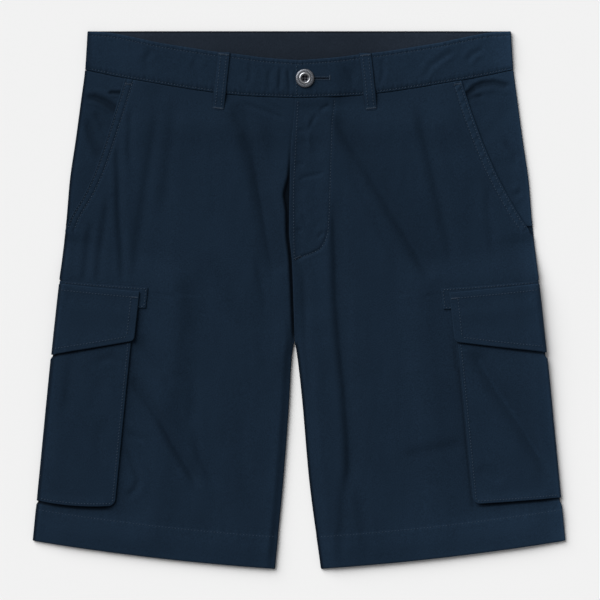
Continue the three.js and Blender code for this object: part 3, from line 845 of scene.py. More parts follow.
@dataclass(frozen=True)
class Fading:
    """How much lighter or darker the cloth is from place to place, with painted shade in the creases and painted
    light and shade at the side seams.
    """

    in_crease: float = 0.125
    crease_depth: float = 2.2
    left_edge: float = 0.26
    right_edge: float = 0.55

    def overall(self, x: np.ndarray, y: np.ndarray) -> np.ndarray:
        """Broad tone of the whole garment: lighter toward the waist and the hems, painted light that makes the
        wearer's left lighter, and a little darker below the crotch.

        Args:
            x: places across the garment.
            y: places along the garment.

        Returns:
            The share of the finish's own colour.
        """
        side = 0.09 * ramp(x, 90, 270) + 0.07 * ramp(x, 40, 170) * ramp(y, 90, 215)
        waist = (0.06 + 0.08 * ramp(x, -20, 60)) * ramp(y, 205, 245) * ramp(np.abs(x), 40, 150)
        corner = 0.12 * ramp(y, 225, 262) * ramp(np.abs(x), 130, 215)
        hem = 0.08 * ramp(y + 0.13 * (270 - np.abs(x)), -205, -225)
        left_hem = 0.14 * ramp(x, 60, 150) * ramp(y, -170, -245)
        middle = -0.03 * ramp(np.abs(x + 5), 60, 5) * ramp(y, -20, -80)
        return 1.0 + side + waist + corner + hem + left_hem + middle

    def creased(
        self, creases: tuple[Fold, ...], x: np.ndarray, y: np.ndarray, strength: float = 1.0
    ) -> np.ndarray:
        """Painted shade down in the creases.

        Args:
            creases: the creases.
            x: places across the garment.
            y: places along the garment.
            strength: how strongly they show.

        Returns:
            The share of the finish's own colour.
        """
        depth = sum(crease.shade(x, y) for crease in creases)
        return 1.0 - self.in_crease * strength * np.tanh(depth / self.crease_depth)

    def edged(self, hand: Hand, off: np.ndarray) -> np.ndarray:
        """Painted light at the side seams: a highlight along the wearer's left one, and shade along the wearer's
        right one with a thin highlight just inside it.

        Args:
            hand: side of the garment.
            off: distance in from the side seam.

        Returns:
            The share of the finish's own colour.
        """
        if hand is Hand.LEFT:
            return 1.0 + self.left_edge * ramp(off, 4.5, 1.5) + 0.2 * ramp(off, 24, 3)
        return 1.0 - self.right_edge * ramp(off, 3.4, 1.7) + 0.1 * bell(off - 4.8, 1.4)


TONE_AND_SHADE = Fading()


@dataclass(frozen=True)
class ClothPiece:
    """What one cloth piece is called, lies on and is made of."""

    name: str
    rests_on: tuple[str, ...] = ()
    held: str = "laid"
    finish: Twill = NAVY
    slot: Slot = Slot.CLOTH

    def make(self, shell: Shell, tone: Values = 1.0) -> None:
        """Makes the piece, hides the part's own solid and states the cut.

        Args:
            shell: the cloth's surface and thickness.
            tone: how much lighter or darker than usual each point of the middle surface is.
        """
        points = shell.surfaces().reshape(-1, 3)
        piece = mesh_piece(self.name, points, shell.quads(), self.finish, self.slot)
        # Broad tone times the piece's own tone, painted light and shade among them
        shade_and_tone = TONE_AND_SHADE.overall(shell.middle[..., 0], shell.middle[..., 1]) * tone
        set_tone(piece, np.stack([shade_and_tone, shade_and_tone]))
        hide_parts(self.name.replace("_cloth", ""))
        width, length, area = shell.flat_size()
        list(self.rests_on)
        LOG.info("%s: cut %.3f by %.3f m, %.4f square m", self.name, width, length, area)


@dataclass
class LegPanels:
    """Front and back panels of both legs."""

    plan: Plan
    lie: Lie
    underlap: float = 14.0
    front_pitch: float = 2.0
    back_pitch: float = 3.6

    def row_ends(self, hand: Hand, levels: np.ndarray) -> tuple[np.ndarray, ...]:
        """Inner ends of a front panel's rows.

        Args:
            hand: side of the garment.
            levels: the rows, by their height at the side seam.

        Returns:
            Place across, place along and turn of each row's inner end.
        """
        y = self.plan.inner_y(levels)
        below = y < self.plan.crotch_y - 0.5
        lap = self.underlap * ramp(y, -15, 20) if hand is Hand.RIGHT else 0.0
        fly = self.plan.fly_edge.at(y) + lap + hand.value * GAP / 2
        x = np.where(below, self.plan.inner_x(hand, np.minimum(y, self.plan.crotch_y)), fly)
        return x, y, np.where(below, ramp(y, self.plan.crotch_y, self.plan.crotch_y - 6), 0.0)

    def sheet(
        self,
        hand: Hand,
        levels: np.ndarray,
        outer: tuple[np.ndarray, ...],
        inner: tuple[np.ndarray, ...],
        pitch: float,
        trim: Callable,
        height: Callable,
        fall_sign: int,
    ) -> Shell:
        """Panel between its outer and its inner line.

        Args:
            hand: side of the garment.
            levels: the rows, by their height at the side seam.
            outer: place across, place along, turn and bow of each row's outer end.
            inner: place across, place along and turn of each row's inner end.
            pitch: largest distance between two columns.
            trim: function of x and y that gives y, held below the waist's seam.
            height: function of level, distance in, x and y that gives the middle surface.
            fall_sign: -1 where the ends turn down and 1 where they turn up.

        Returns:
            The panel.
        """
        thickness = self.lie.cloth
        outer_x, outer_y, outer_turn, bow = outer
        inner_x, inner_y, inner_turn = inner
        inset_a, fall_a, round_a = end_profile(outer_turn, thickness, self.lie.loft)
        inset_b, fall_b, round_b = end_profile(inner_turn, thickness, self.lie.loft)
        share = self.columns(pitch)[None, :]
        x_mid = mix(outer_x[:, None], inner_x[:, None], share)
        y_mid = mix(outer_y[:, None], inner_y[:, None], share)
        y_mid = y_mid - self.plan.row_bow * 4 * share * (1 - share) * bow[:, None]
        x = np.concatenate(
            [
                outer_x[:, None] - hand.value * inset_a,
                x_mid,
                inner_x[:, None] + hand.value * inset_b[:, ::-1],
            ],
            axis=1,
        )
        y = np.concatenate(
            [np.repeat(outer_y[:, None], 7, axis=1), y_mid, np.repeat(inner_y[:, None], 7, axis=1)],
            axis=1,
        )
        y = trim(x, y)
        fall = np.concatenate([fall_a, np.zeros_like(x_mid), fall_b[:, ::-1]], axis=1)
        edge = np.concatenate([round_a, np.ones_like(x_mid), round_b[:, ::-1]], axis=1)
        level = np.repeat(levels[:, None], x.shape[1], axis=1)
        inward = self.plan.leg_side(level) - np.abs(x)
        hem = ramp(level, self.plan.hem_row + 0.6, self.plan.hem_row - 0.6)
        z = height(level, inward, x, y) + fall_sign * fall + hem * self.lie.hem_extra / 2
        thick = (thickness + hem * self.lie.hem_extra) * edge * rim_profile(len(levels))[:, None]
        return Shell(np.stack([x, y, z], axis=2), thick)

    def levels(self, top: float, pitch: float) -> np.ndarray:
        """Rows of a panel, closer at its ends and at the hem's stitching.

        Args:
            top: the first row.
            pitch: largest distance between two rows.

        Returns:
            The rows from the waist to the hem.
        """
        hem, end = self.plan.hem_row, self.plan.hem_side
        stops = [top, top - 1, top - 9, 75, 63, 23, 15, hem + 16, hem - 6, end + 1, end]
        return spaced(stops, [0.35, 1.0, pitch, 1.2, pitch, 0.9, pitch, 0.8, pitch, 0.35])

    def columns(self, pitch: float) -> np.ndarray:
        """Shares of the way across a panel, closer at its edges.

        Args:
            pitch: largest distance between two columns on the widest row.

        Returns:
            The shares from the side seam to the middle.
        """
        width = 235.0
        stops = [3.5, 14.0, width - 62.0, width - 3.5]
        return spaced(stops, [0.9, pitch, min(1.25, pitch)]) / width

    def front(self, hand: Hand) -> None:
        """Makes one front panel.

        Args:
            hand: side of the garment.
        """
        plan = self.plan
        levels = self.levels(plan.top_row, self.front_pitch)
        on_slant = ramp(levels, 63, plan.slant_row)
        half = mix(plan.leg_side(levels), plan.slant(hand, levels), on_slant)

        def trim(x: np.ndarray, y: np.ndarray) -> np.ndarray:
            """Rows that follow the waistband's seam at the top.

            Args:
                x: places across the garment.
                y: places along the garment.

            Returns:
                The new places along the garment.
            """
            seam = plan.band_seam.at(np.abs(x)) - GAP / 2
            line = y + (seam[:1] - y[:1]) * ramp(levels, plan.top_row - 40, plan.top_row)[:, None]
            return np.minimum(line, seam)

        def height(level: np.ndarray, inward: np.ndarray, x: np.ndarray, y: np.ndarray) -> np.ndarray:
            """Middle surface of the panel on this side."""
            return self.lie.front(hand, level, inward, x, y)

        outer = (hand.value * half, levels, 1 - on_slant, np.ones_like(levels))
        inner = self.row_ends(hand, levels)
        shell = self.sheet(hand, levels, outer, inner, self.front_pitch, trim, height, -1)
        tone = self.front_tone(hand, levels[:, None], shell.middle[..., 0], shell.middle[..., 1])
        piece = ClothPiece(f"front_leg_cloth_{hand.word}", (f"back_leg_cloth_{hand.word}",))
        piece.make(shell, tone)

    def front_tone(self, hand: Hand, level: np.ndarray, x: np.ndarray, y: np.ndarray) -> np.ndarray:
        """How much lighter or darker a front panel is than usual.

        Args:
            hand: side of the garment.
            level: row at the side seam.
            x: place across the garment.
            y: place along the garment.

        Returns:
            The share of the usual colour.
        """
        plan = self.plan
        side = plan.leg_side(level) - np.abs(x)
        sewn = ramp(level, 74, 66)
        # Painted shade in the creases; below the slanted opening, painted light and shade along the side seam.
        tone = TONE_AND_SHADE.creased(self.lie.folds, x, y) * mix(1.0, TONE_AND_SHADE.edged(hand, side), sewn)
        from_slant = plan.slant(hand, y) - np.abs(x)
        tone = tone * (1.0 + hand.pick(0.12, 0.07) * (1 - sewn) * ramp(from_slant, 13, 9))
        # Painted shade on the leg beside the cargo pocket's front edge.
        from_pocket = side - hand.pick(90.0, 79.0)
        beside = bell(from_pocket - 1.0, 8.0) * ramp(level, 0, -40) * ramp(level, -214, -200)
        tone = tone * (1.0 - hand.pick(0.11, 0.06) * beside)
        if hand is Hand.LEFT:
            # Thin painted shadow right at the left pocket's front edge.
            line = bell(from_pocket - 0.6, 1.3) * ramp(level, -28, -36) * ramp(level, -204, -198)
            tone = tone * (1.0 - 0.35 * line)
        # Painted shadow on the leg just under the pocket's bottom edge.
        share = np.clip(side / hand.pick(90.0, 80.0), 0, 1)
        below = plan.bag_low(hand) + plan.bag_skew * share + plan.bag_sag(hand, share) - level
        slot = ramp(below, 3.6, 2.0) * ramp(below, -3, 0) * ramp(share, 0.99, 0.86)
        tone = tone * (1.0 - 0.62 * slot)
        # Right panel: painted highlight beside the inseam and painted shade in the fly's crevice. Left panel:
        # painted shade along the inseam's edge.
        inner = hand.value * (x - plan.inner_x(hand, np.minimum(y, plan.crotch_y)))
        if hand is Hand.RIGHT:
            tone_shift = 1.0 + 0.09 * bell(inner - 9.0, 8.0) * ramp(y, -60, -120)
            return tone * self.lie.crevice(x, y) * tone_shift
        return tone * (1.0 - 0.62 * ramp(inner, 3.0, 1.6) * ramp(y, plan.crotch_y, plan.crotch_y - 4))

    def back(self, hand: Hand) -> None:
        """Makes one back panel.

        Args:
            hand: side of the garment.
        """
        plan = self.plan
        levels = self.levels(plan.seat_row, self.back_pitch)
        seat = mix(
            plan.waist_seam_side - GAP / 2,
            float(plan.inner_y(plan.thigh_row)),
            np.clip((plan.seat_row - levels) / (plan.seat_row - plan.thigh_row), 0, 1),
        )
        y = np.where(levels > plan.thigh_row, seat, plan.inner_y(levels))
        below = y < plan.crotch_y - 0.5
        share = np.clip((y - plan.crotch_y) / (plan.waist_seam_side - plan.crotch_y), 0, 1)
        seat_x = mix(plan.crotch_x, 0.0, share) + hand.value * GAP / 2
        x = np.where(below, plan.inner_x(hand, np.minimum(y, plan.crotch_y)), seat_x)
        turn = np.where(below, ramp(y, plan.crotch_y, plan.crotch_y - 6), 0.0)
        bow = np.clip((plan.seat_row - levels) / (plan.seat_row - 105.0), 0, 1)
        outer = (hand.value * plan.leg_side(levels), levels, np.ones_like(levels), bow)
        height, keep = self.lie.creased_back, lambda x, y: y
        shell = self.sheet(hand, levels, outer, (x, y, turn), self.back_pitch, keep, height, 1)
        ClothPiece(f"back_leg_cloth_{hand.word}").make(shell)


@dataclass
class HipPockets:
    """Side panels seen behind the slanted openings."""

    plan: Plan
    lie: Lie
    tuck_low: float = 10.0
    tuck_high: float = 15.0
    # How strongly the painted shade in the creases shows
    crease_tone: float = 3.6
    swell: Unevenness = Unevenness(41, 11.0, 0.3)
    folds: tuple[Fold, ...] = ()

    def build(self, hand: Hand) -> None:
        """Makes one panel.

        Args:
            hand: side of the garment.
        """
        plan, lie = self.plan, self.lie
        levels = spaced([236.6, 235.6, 180, 77, 76], [0.35, 1.2, 2.2, 0.35])
        outer = plan.side(levels)[:, None]
        tuck = mix(self.tuck_low, self.tuck_high, ramp(levels, 76, 115))
        inner = (plan.slant(hand, levels) - tuck)[:, None]
        inset, fall, edge = end_profile(np.ones_like(levels), lie.trim, lie.loft)
        share = spaced([0.0, 1.0], [0.025])[None, 1:]
        half = np.concatenate([outer - inset, mix(outer - 2.0, inner, share)], axis=1)
        fall = np.concatenate([fall, np.zeros((len(levels), share.size))], axis=1)
        edge = np.concatenate([edge, np.ones((len(levels), share.size))], axis=1)
        level = np.repeat(levels[:, None], half.shape[1], axis=1)
        seam = plan.band_seam.at(half)
        tilt = level + (seam - plan.band_seam.at(outer)) * ramp(level, 140, 236.6)
        y = np.minimum(tilt, seam - GAP / 2)
        x = hand.value * half
        inward = outer - half
        rise = floored(total(self.folds, x, y) + self.swell.height(x, y), -0.35, 0.68)
        z = lie.back(level, inward, x, y) + lie.loft - fall + rise * ramp(inward, 2, 9)
        thickness = lie.trim * edge * rim_profile(len(levels))[:, None]
        # Painted shade in the creases and painted light and shade along the side seam.
        tone = TONE_AND_SHADE.creased(self.folds, x, y, self.crease_tone) * TONE_AND_SHADE.edged(hand, inward)
        piece = ClothPiece(f"hip_pocket_cloth_{hand.word}")
        piece.make(Shell(np.stack([x, y, z], axis=2), thickness), tone)


@dataclass
class Waistbands:
    """Front bands with their lap and the back band behind them."""

    plan: Plan
    lie: Lie
    lap_end: float = -4.9
    overlap_end: float = -30.0
    hole_y: float = 228.1
    folds: tuple[Fold, ...] = ()
    swell: tuple[Unevenness, ...] = (Unevenness(21, 19.0, 0.22), Unevenness(22, 7.0, 0.13))

    def height(self, hand: Hand, x: np.ndarray, y: np.ndarray) -> np.ndarray:
        """Middle surface of a front band.

        Args:
            hand: side of the garment.
            x: places across the garment.
            y: places along the garment.

        Returns:
            The height in millimetres.
        """
        lap = self.lie.band_step * ramp(x, 58, 34) if hand is Hand.LEFT else 0.0
        base = self.lie.band / 2 + self.lie.band_loft + self.lie.loop_lift(x, self.plan.waist_top)
        from_top = self.plan.band_top.at(np.abs(x)) - y
        from_seam = y - self.plan.band_seam.at(np.abs(x))
        ends = ramp(218 - np.abs(x), 2, 20)
        creases = total(self.folds, x, y) * ramp(from_top, 1, 6) * ramp(from_seam, 1, 6)
        rows = -0.45 * bell(from_top - 4.4, 0.9) - 0.4 * bell(from_seam - 2.1, 0.8)
        wave = np.sin(2 * np.pi * x / 4.9) + 0.7 * np.sin(2 * np.pi * x / 7.7 + 1.0)
        puckers = 0.16 * wave * (bell(from_top - 3.0, 3.4) + bell(from_seam - 4.0, 3.4))
        drop = 0.75 * ramp(from_seam, 7, 0.5)
        return base + lap + (total(self.swell, x, y) + creases + puckers) * ends + rows - drop

    def front(self, hand: Hand) -> None:
        """Makes one front band.

        Args:
            hand: side of the garment.
        """
        plan, lie = self.plan, self.lie
        stops = [0.0, 0.03, 0.2, 0.42, 0.56, 0.8, 0.97, 1.0]
        share = spaced(stops, [0.009, 0.016, 0.03, 0.01, 0.03, 0.016, 0.009])
        half = plan.side(mix(plan.waist_top, plan.waist_seam_side, share))[:, None]
        inset, fall, edge = end_profile(np.ones_like(share), lie.band, lie.band_loft)
        last = hand.pick(self.lap_end, self.overlap_end)
        inside = spaced([212.0, last + 1.2, last + 0.4, last], [1.15, 0.3, 0.15])
        wide = np.repeat(inside[None, :], len(share), axis=0)
        distance = np.concatenate([half - inset, wide], axis=1)
        x = hand.value * distance
        fall = np.concatenate([fall, np.zeros_like(wide)], axis=1)
        ends = np.ones(len(inside))
        ends[-4:] = [1.0, 0.85, 0.6, 0.35]
        edge = np.concatenate([edge, np.repeat(ends[None, :], len(share), axis=0)], axis=1)
        seam = plan.band_seam.at(np.abs(x)) + GAP / 2
        y = mix(plan.band_top.at(np.abs(x)), seam, share[:, None])
        z = self.height(hand, x, y) - fall
        thickness = lie.band * edge * rim_profile(len(share))[:, None]
        from_top = plan.band_top.at(np.abs(x)) - y
        # Painted shade in the creases and painted light and shade along the side seam.
        tone = TONE_AND_SHADE.creased(self.folds, x, y) * TONE_AND_SHADE.edged(hand, half - np.abs(x))
        tone = tone * (1.0 + 0.12 * ramp(from_top, 3.4, 1.6))
        if hand is Hand.LEFT:
            # Painted shade in the buttonhole's slit.
            slit = ramp(np.abs(y - self.hole_y), 0.8, 0.45) * ramp(x, 13, 14) * ramp(x, 30.4, 29.6)
            tone = tone * (1.0 - 0.85 * slit)
        piece = ClothPiece(f"waistband_cloth_front_{hand.word}", ("waistband_cloth_back",))
        piece.make(Shell(np.stack([x, y, z], axis=2), thickness), tone)

    def back(self) -> None:
        """Makes the back band, whose inside is seen above the front ones."""
        plan, lie = self.plan, self.lie
        share = spaced([0.0, 0.12, 0.97, 1.0], [0.009, 0.05, 0.009])
        y = mix(plan.waist_top, plan.waist_seam_side + GAP / 2, share)[:, None]
        half = plan.side(y[:, 0])[:, None]
        inset, fall, edge = end_profile(np.ones_like(share), lie.band, lie.band_loft)
        inside = spaced([211.0, -211.0], [2.6])
        wide = np.repeat(inside[None, :], len(share), axis=0)
        x = np.concatenate([half - inset, wide, -(half - inset)[:, ::-1]], axis=1)
        rise = np.concatenate([fall, np.zeros_like(wide), fall[:, ::-1]], axis=1)
        edge = np.concatenate([edge, np.ones_like(wide), edge[:, ::-1]], axis=1)
        y = np.repeat(y, x.shape[1], axis=1)
        z = lie.band / 2 + lie.loop_lift(x, plan.waist_top) + rise
        thickness = lie.band * edge * rim_profile(len(share))[:, None]
        piece = ClothPiece("waistband_cloth_back", finish=NAVY_INSIDE, slot=Slot.INSIDE)
        folded_edge = ramp(y, plan.waist_top - 2.1, plan.waist_top - 1.2)
        fringe = 0.16 * bell(y - plan.waist_top + 3.4, 0.9)
        tone = 1.0 - 0.62 * folded_edge + fringe - 0.1 * ramp(y, 262, 252)
        piece.make(Shell(np.stack([x, y, z], axis=2), thickness), tone)


@dataclass
class CargoPockets:
    """Side pockets with their gussets, flaps and stays."""

    plan: Plan
    lie: Lie
    long_reach: float = 90.0
    short_reach: float = 80.0
    centre: float = 3.2
    bag_radius: float = 2.6
    flap_radius: float = 4.25
    rise: float = 2.35
    rise_from: float = 16.0
    corner: float = 7.0
    flap_side: float = 17.0
    flap_end: float = 19.0
    flap_bottom_side: float = -56.0
    flap_bottom_end: float = -31.5
    flap_extra: float = 3.0
    flap_corner: float = 4.0
    flare: float = 0.9
    gusset_radius: float = 0.28
    gusset_flange: float = 6.0
    gusset_low: float = 0.9
    gusset_cloth: float = 0.45
    gusset_corner: float = 8.0
    # Gusset painted darker, as shade under the bag's edge.
    gusset_shade: float = 0.8
    flap_rise: float = 2.75
    stay_top: tuple[float, float] = (20.0, 24.0)
    stay_bottom: tuple[float, float] = (-8.0, 2.6)
    bag_rows: Curve = curve(
        -14, 0, -92, 0, -120, 1, -150, 2, -180, 3.5, -199, 4.6, -204.4, 5, -206.3, 5
    )
    bag_top: float = -14.0
    flap_raised: float = 2.5
    folds: tuple[Fold, ...] = ()
    swell: tuple[Unevenness, ...] = (Unevenness(31, 26.0, 0.28), Unevenness(32, 9.0, 0.12, 3.0))

    def reach(self, hand: Hand) -> tuple[float, float]:
        """How far the pocket reaches over the front and under the back."""
        return (self.long_reach, self.short_reach)[:: hand.value]

    def pulled(self, radius: float, height: np.ndarray) -> np.ndarray:
        """How far a rounded corner draws a row in, its height above the corner."""
        inside = np.clip(height, 0.0, radius)
        return radius - np.sqrt(np.maximum(radius**2 - (radius - inside) ** 2, 0.0))

    def bag_rise(self, inward: Values) -> np.ndarray:
        """Height of the bag over the leg."""
        return mix(self.bag_radius - self.lie.loft / 2, self.rise, ramp(inward, self.centre, self.rise_from))

    def relief(self, x: np.ndarray, y: np.ndarray) -> np.ndarray:
        """Creases and swell of the bag and flap."""
        return total((*self.folds, *self.swell), x, y)

    def wrap(
        self,
        hand: Hand,
        side: np.ndarray,
        level_at: Callable,
        reach: tuple[float, float],
        radius: float,
        rise: Callable,
        back_z: Callable,
        corner: np.ndarray,
        pitch: float,
    ) -> np.ndarray:
        """Sheet that lies on the front, turns round the side seam and lies under the back.

        Args:
            hand: side of the garment.
            side: level of each row at the side seam.
            level_at: function of the share of the reach that gives each row's level.
            reach: how far the sheet reaches over the front and under the back.
            radius: radius of its turn round the side seam.
            rise: function of level, distance in, x and y that gives the height over the leg.
            back_z: function of the level that gives the middle surface's height underneath.
            corner: how far each row's ends are drawn in.
            pitch: distance between the columns over the front.

        Returns:
            The sheet's middle surface.
        """
        plan, lie = self.plan, self.lie
        front_reach, back_reach = reach
        shares = spaced([1.0, 0.994, 0.97, 0.0], [0.003, 0.012, pitch / front_reach])[None, :]
        inward = self.centre + (front_reach - corner[:, None] - self.centre) * shares
        level = level_at(np.clip(inward / front_reach, 0, 1))
        x, y = plan.place(hand, level, inward)
        x = x - hand.value * plan.under_flap(level) * ramp(inward, 24, self.centre)
        base = lie.pocket_lift(level, inward) + lie.cloth / 2 + lie.loft
        front = np.stack([x, y, base + rise(level, inward, x, y)], axis=2)
        angle = np.radians(spaced([90, -90], [15]))[None, 1:-1]
        middle = lie.pocket_lift(side, self.centre)[:, None] + lie.cloth / 2 + lie.loft / 2
        edge = (plan.side(side) - plan.under_flap(side))[:, None]
        turn_x = hand.value * (edge - self.centre + radius * np.cos(angle))
        turn_y = np.repeat((side - plan.drop(side, self.centre))[:, None], angle.size, axis=1)
        turn = np.stack([turn_x, turn_y, middle + radius * np.sin(angle)], axis=2)
        shares = spaced([0.0, 0.98, 1.0], [3.4 / back_reach, 0.006])[None, :]
        inward = self.centre + (back_reach - corner[:, None] - self.centre) * shares
        level = level_at(np.clip(inward / back_reach, 0, 1))
        x, y = plan.place(hand, level, inward)
        x = x - hand.value * plan.under_flap(level) * ramp(inward, 24, self.centre)
        under = np.stack([x, y, back_z(level)], axis=2)
        return np.concatenate([front, turn, under], axis=1)

    def finish_sheet(self, middle: np.ndarray, thickness: float) -> Shell:
        """Shell with rounded rims on all four sides."""
        rows, columns = rim_profile(middle.shape[0]), rim_profile(middle.shape[1])
        return Shell(middle, thickness * rows[:, None] * columns[None, :])

    def bag(self, hand: Hand) -> None:
        """Makes one pocket bag.

        Args:
            hand: side of the garment.
        """
        plan, lie = self.plan, self.lie
        low = plan.bag_low(hand)
        stops = [self.bag_top, self.bag_top - 1, -66, low + 8, low + 1, low]
        side = spaced(stops, [0.35, 1.0, 1.7, 0.7, 0.3])
        skew = self.bag_rows.at(side)[:, None]
        settled = ramp(side, -130, low)[:, None]
        lifted = 1.1 * ramp(side, low + 12, low)[:, None]
        front = self.reach(hand)[0]

        def level_at(share: np.ndarray) -> np.ndarray:
            """Level of each row at a share of the reach."""
            return side[:, None] + skew * share + plan.bag_sag(hand, share) * settled

        def rise(level: np.ndarray, inward: np.ndarray, x: np.ndarray, y: np.ndarray) -> np.ndarray:
            """Height of the middle surface over the leg.

            Args:
                level: row at the side seam.
                inward: distance in from the side seam.
                x: place across the garment.
                y: place along the garment.

            Returns:
                The height in millimetres.
            """
            off = self.bag_rise(inward) + lifted * ramp(inward, 6, 22) * ramp(front - inward, 1, 16)
            return off + self.relief(x, y) * ramp(inward, 4, 20) * self.rim_ease(hand, level, inward)

        def back_z(level: np.ndarray) -> np.ndarray:
            """Height of the middle surface under the back, on the flap."""
            return lie.cloth / 2 + (lie.strap + GAP) * lie.under_back(level)

        corner = self.pulled(self.corner, side - low)
        reach = self.reach(hand)
        middle = self.wrap(hand, side, level_at, reach, self.bag_radius, rise, back_z, corner, 1.7)
        x, y = middle[..., 0], middle[..., 1]
        outer = np.abs(x).max(axis=1, keepdims=True)
        # Painted shade in the creases and painted light and shade along the side seam.
        tone = TONE_AND_SHADE.creased(self.folds, x, y) * TONE_AND_SHADE.edged(hand, outer - np.abs(x))
        # Painted shadow on the bag just under the flap's bottom edge.
        inward = plan.side(y) - np.abs(x)
        share = np.clip(inward / (front + self.flap_extra), 0, 1)
        below = mix(self.flap_low(hand), self.flap_bottom_end, share) - plan.level_of(y, inward)
        deep = mix(2.8, 1.4, share)
        tone = tone * (1.0 - 0.6 * ramp(below, deep + 0.9, deep - 0.4) * ramp(below, -5, -2))
        piece = ClothPiece(f"cargo_pocket_cloth_{hand.word}", (f"front_leg_cloth_{hand.word}",), "folded")
        piece.make(self.finish_sheet(middle, lie.cloth), tone)

    def rim_ease(self, hand: Hand, level: np.ndarray, inward: np.ndarray) -> np.ndarray:
        """Share of the relief that is left near the bag's sewn edges."""
        low = self.plan.bag_bottom
        return mix(0.25, 1.0, ramp(self.reach(hand)[0] - inward, 1, 12) * ramp(level, low, low + 12))

    def flap_low(self, hand: Hand) -> float:
        """Level of the flap's lower edge at the side seam."""
        return self.flap_bottom_side + hand.pick(self.flap_raised, 0.0)

    def flap(self, hand: Hand) -> None:
        """Makes one flap.

        Args:
            hand: side of the garment.
        """
        lie = self.lie
        step = spaced([0.0, 0.02, 0.12, 0.88, 0.98, 1.0], [0.006, 0.015, 0.024, 0.015, 0.006])

        def level_at(share: np.ndarray) -> np.ndarray:
            """Level of each row at a share of the reach.

            Args:
                share: the share, one for each column.

            Returns:
                The levels.
            """
            top = mix(self.flap_side, self.flap_end, share)
            bottom = mix(self.flap_low(hand), self.flap_bottom_end, share)
            return mix(top, bottom, step[:, None])

        def rise(level: np.ndarray, inward: np.ndarray, x: np.ndarray, y: np.ndarray) -> np.ndarray:
            """Height of the middle surface over the leg.

            Args:
                level: row at the side seam.
                inward: distance in from the side seam.
                x: place across the garment.
                y: place along the garment.

            Returns:
                The height in millimetres.
            """
            over = self.bag_rise(inward) - self.bag_rise(self.centre)
            settled = ramp(inward, self.centre, self.rise_from)
            top = mix(self.flap_radius - lie.loft / 2, self.flap_rise, settled)
            lift = top + (over + 0.2) * ramp(level, 8, -8)
            flare = self.flare * ramp(step, 0.6, 1.0)[:, None] * settled
            return lift + flare + 0.6 * self.relief(x, y) * ramp(inward, 6, 20)

        def back_z(level: np.ndarray) -> np.ndarray:
            """Height of the middle surface under the back, on the table."""
            return np.full_like(level, lie.strap / 2)

        side = mix(self.flap_side, self.flap_low(hand), step)
        corner = self.pulled(self.flap_corner, (1 - step) * (self.flap_end - self.flap_bottom_end))
        front, back = self.reach(hand)
        reach = (front + self.flap_extra, back + self.flap_extra)
        middle = self.wrap(hand, side, level_at, reach, self.flap_radius, rise, back_z, corner, 1.5)
        outer = np.abs(middle[..., 0]).max(axis=1, keepdims=True)
        # Painted light and shade along the side seam.
        tone = TONE_AND_SHADE.edged(hand, outer - np.abs(middle[..., 0]))
        tone = tone * (1.0 + 0.12 * ramp(step, 0.09, 0.03)[:, None])
        piece = ClothPiece(f"cargo_flap_cloth_{hand.word}", (f"cargo_pocket_cloth_{hand.word}",), "folded")
        piece.make(self.finish_sheet(middle, lie.strap), tone)

    def stay(self, hand: Hand) -> None:
        """Makes the patch that the flap is sewn through.

        Args:
            hand: side of the garment.
        """
        plan, lie = self.plan, self.lie
        reach = self.reach(hand)[0] + self.flap_extra + 8.0
        step = spaced([0.0, 0.03, 0.97, 1.0], [0.012, 0.06, 0.012])[:, None]
        inward = spaced([reach, reach - 1, 2, 1], [0.35, 2.0, 0.35])[None, :]
        share = (inward - 1.0) / (reach - 1.0)
        level = mix(mix(*self.stay_top, share), mix(*self.stay_bottom, share), step)
        wide = np.repeat(inward, len(step), axis=0)
        x, y = plan.place(hand, level, wide)
        rise = lie.cloth / 2 + GAP + lie.trim / 2
        z = lie.pocket_lift(level, wide) + lie.cloth / 2 + lie.loft + rise
        piece = ClothPiece(f"flap_stay_cloth_{hand.word}")
        piece.make(self.finish_sheet(np.stack([x, y, z], axis=2), lie.trim))

    def gusset(self, hand: Hand) -> None:
        """Makes the folded strip that lets the bag stand off the leg.

        Args:
            hand: side of the garment.
        """
        plan, lie, corner = self.plan, self.lie, self.gusset_corner
        front = self.reach(hand)[0]
        edge = front + hand.pick(0.9, 0.2)
        bottom = plan.bag_low(hand) + 1.6
        turn_level = bottom + plan.bag_skew * (edge - corner) / front + corner
        down = spaced([-18.0, turn_level], [2.5])
        angle = np.radians(spaced([0, 90], [7.5]))[1:-1]
        across = spaced([edge - corner, 18.0], [2.5])
        along = bottom + plan.bag_skew * np.clip(across / front, 0, 1)
        level = np.concatenate([down, turn_level - corner * np.sin(angle), along])
        inward = np.concatenate([np.full_like(down, edge), edge - corner + corner * np.cos(angle), across])
        out_x = np.concatenate([np.ones_like(down), np.cos(angle), np.zeros_like(across)])
        out_y = np.concatenate([np.zeros_like(down), -np.sin(angle), -np.ones_like(across)])
        turn = np.radians(spaced([-90, 90], [15]))
        radius, low = self.gusset_radius, self.gusset_low
        flange = spaced([self.gusset_flange, radius], [0.9])[:-1]
        inside = np.concatenate([flange, radius * (1 - np.cos(turn)), flange[::-1]])
        lower, upper = np.full_like(flange, low), np.full_like(flange, low + 2 * radius)
        height = np.concatenate([lower, low + radius * (1 + np.sin(turn)), upper])
        inner_level = level[:, None] - out_y[:, None] * inside[None, :]
        inner_inward = inward[:, None] - out_x[:, None] * inside[None, :]
        x, y = plan.place(hand, inner_level, inner_inward)
        z = lie.pocket_lift(inner_level, inner_inward) + lie.cloth / 2 + lie.loft + height[None, :]
        piece = ClothPiece(f"cargo_gusset_cloth_{hand.word}", held="folded")
        shell = Shell(np.stack([x, y, z], axis=2), np.full(x.shape, self.gusset_cloth))
        piece.make(shell, self.gusset_shade)


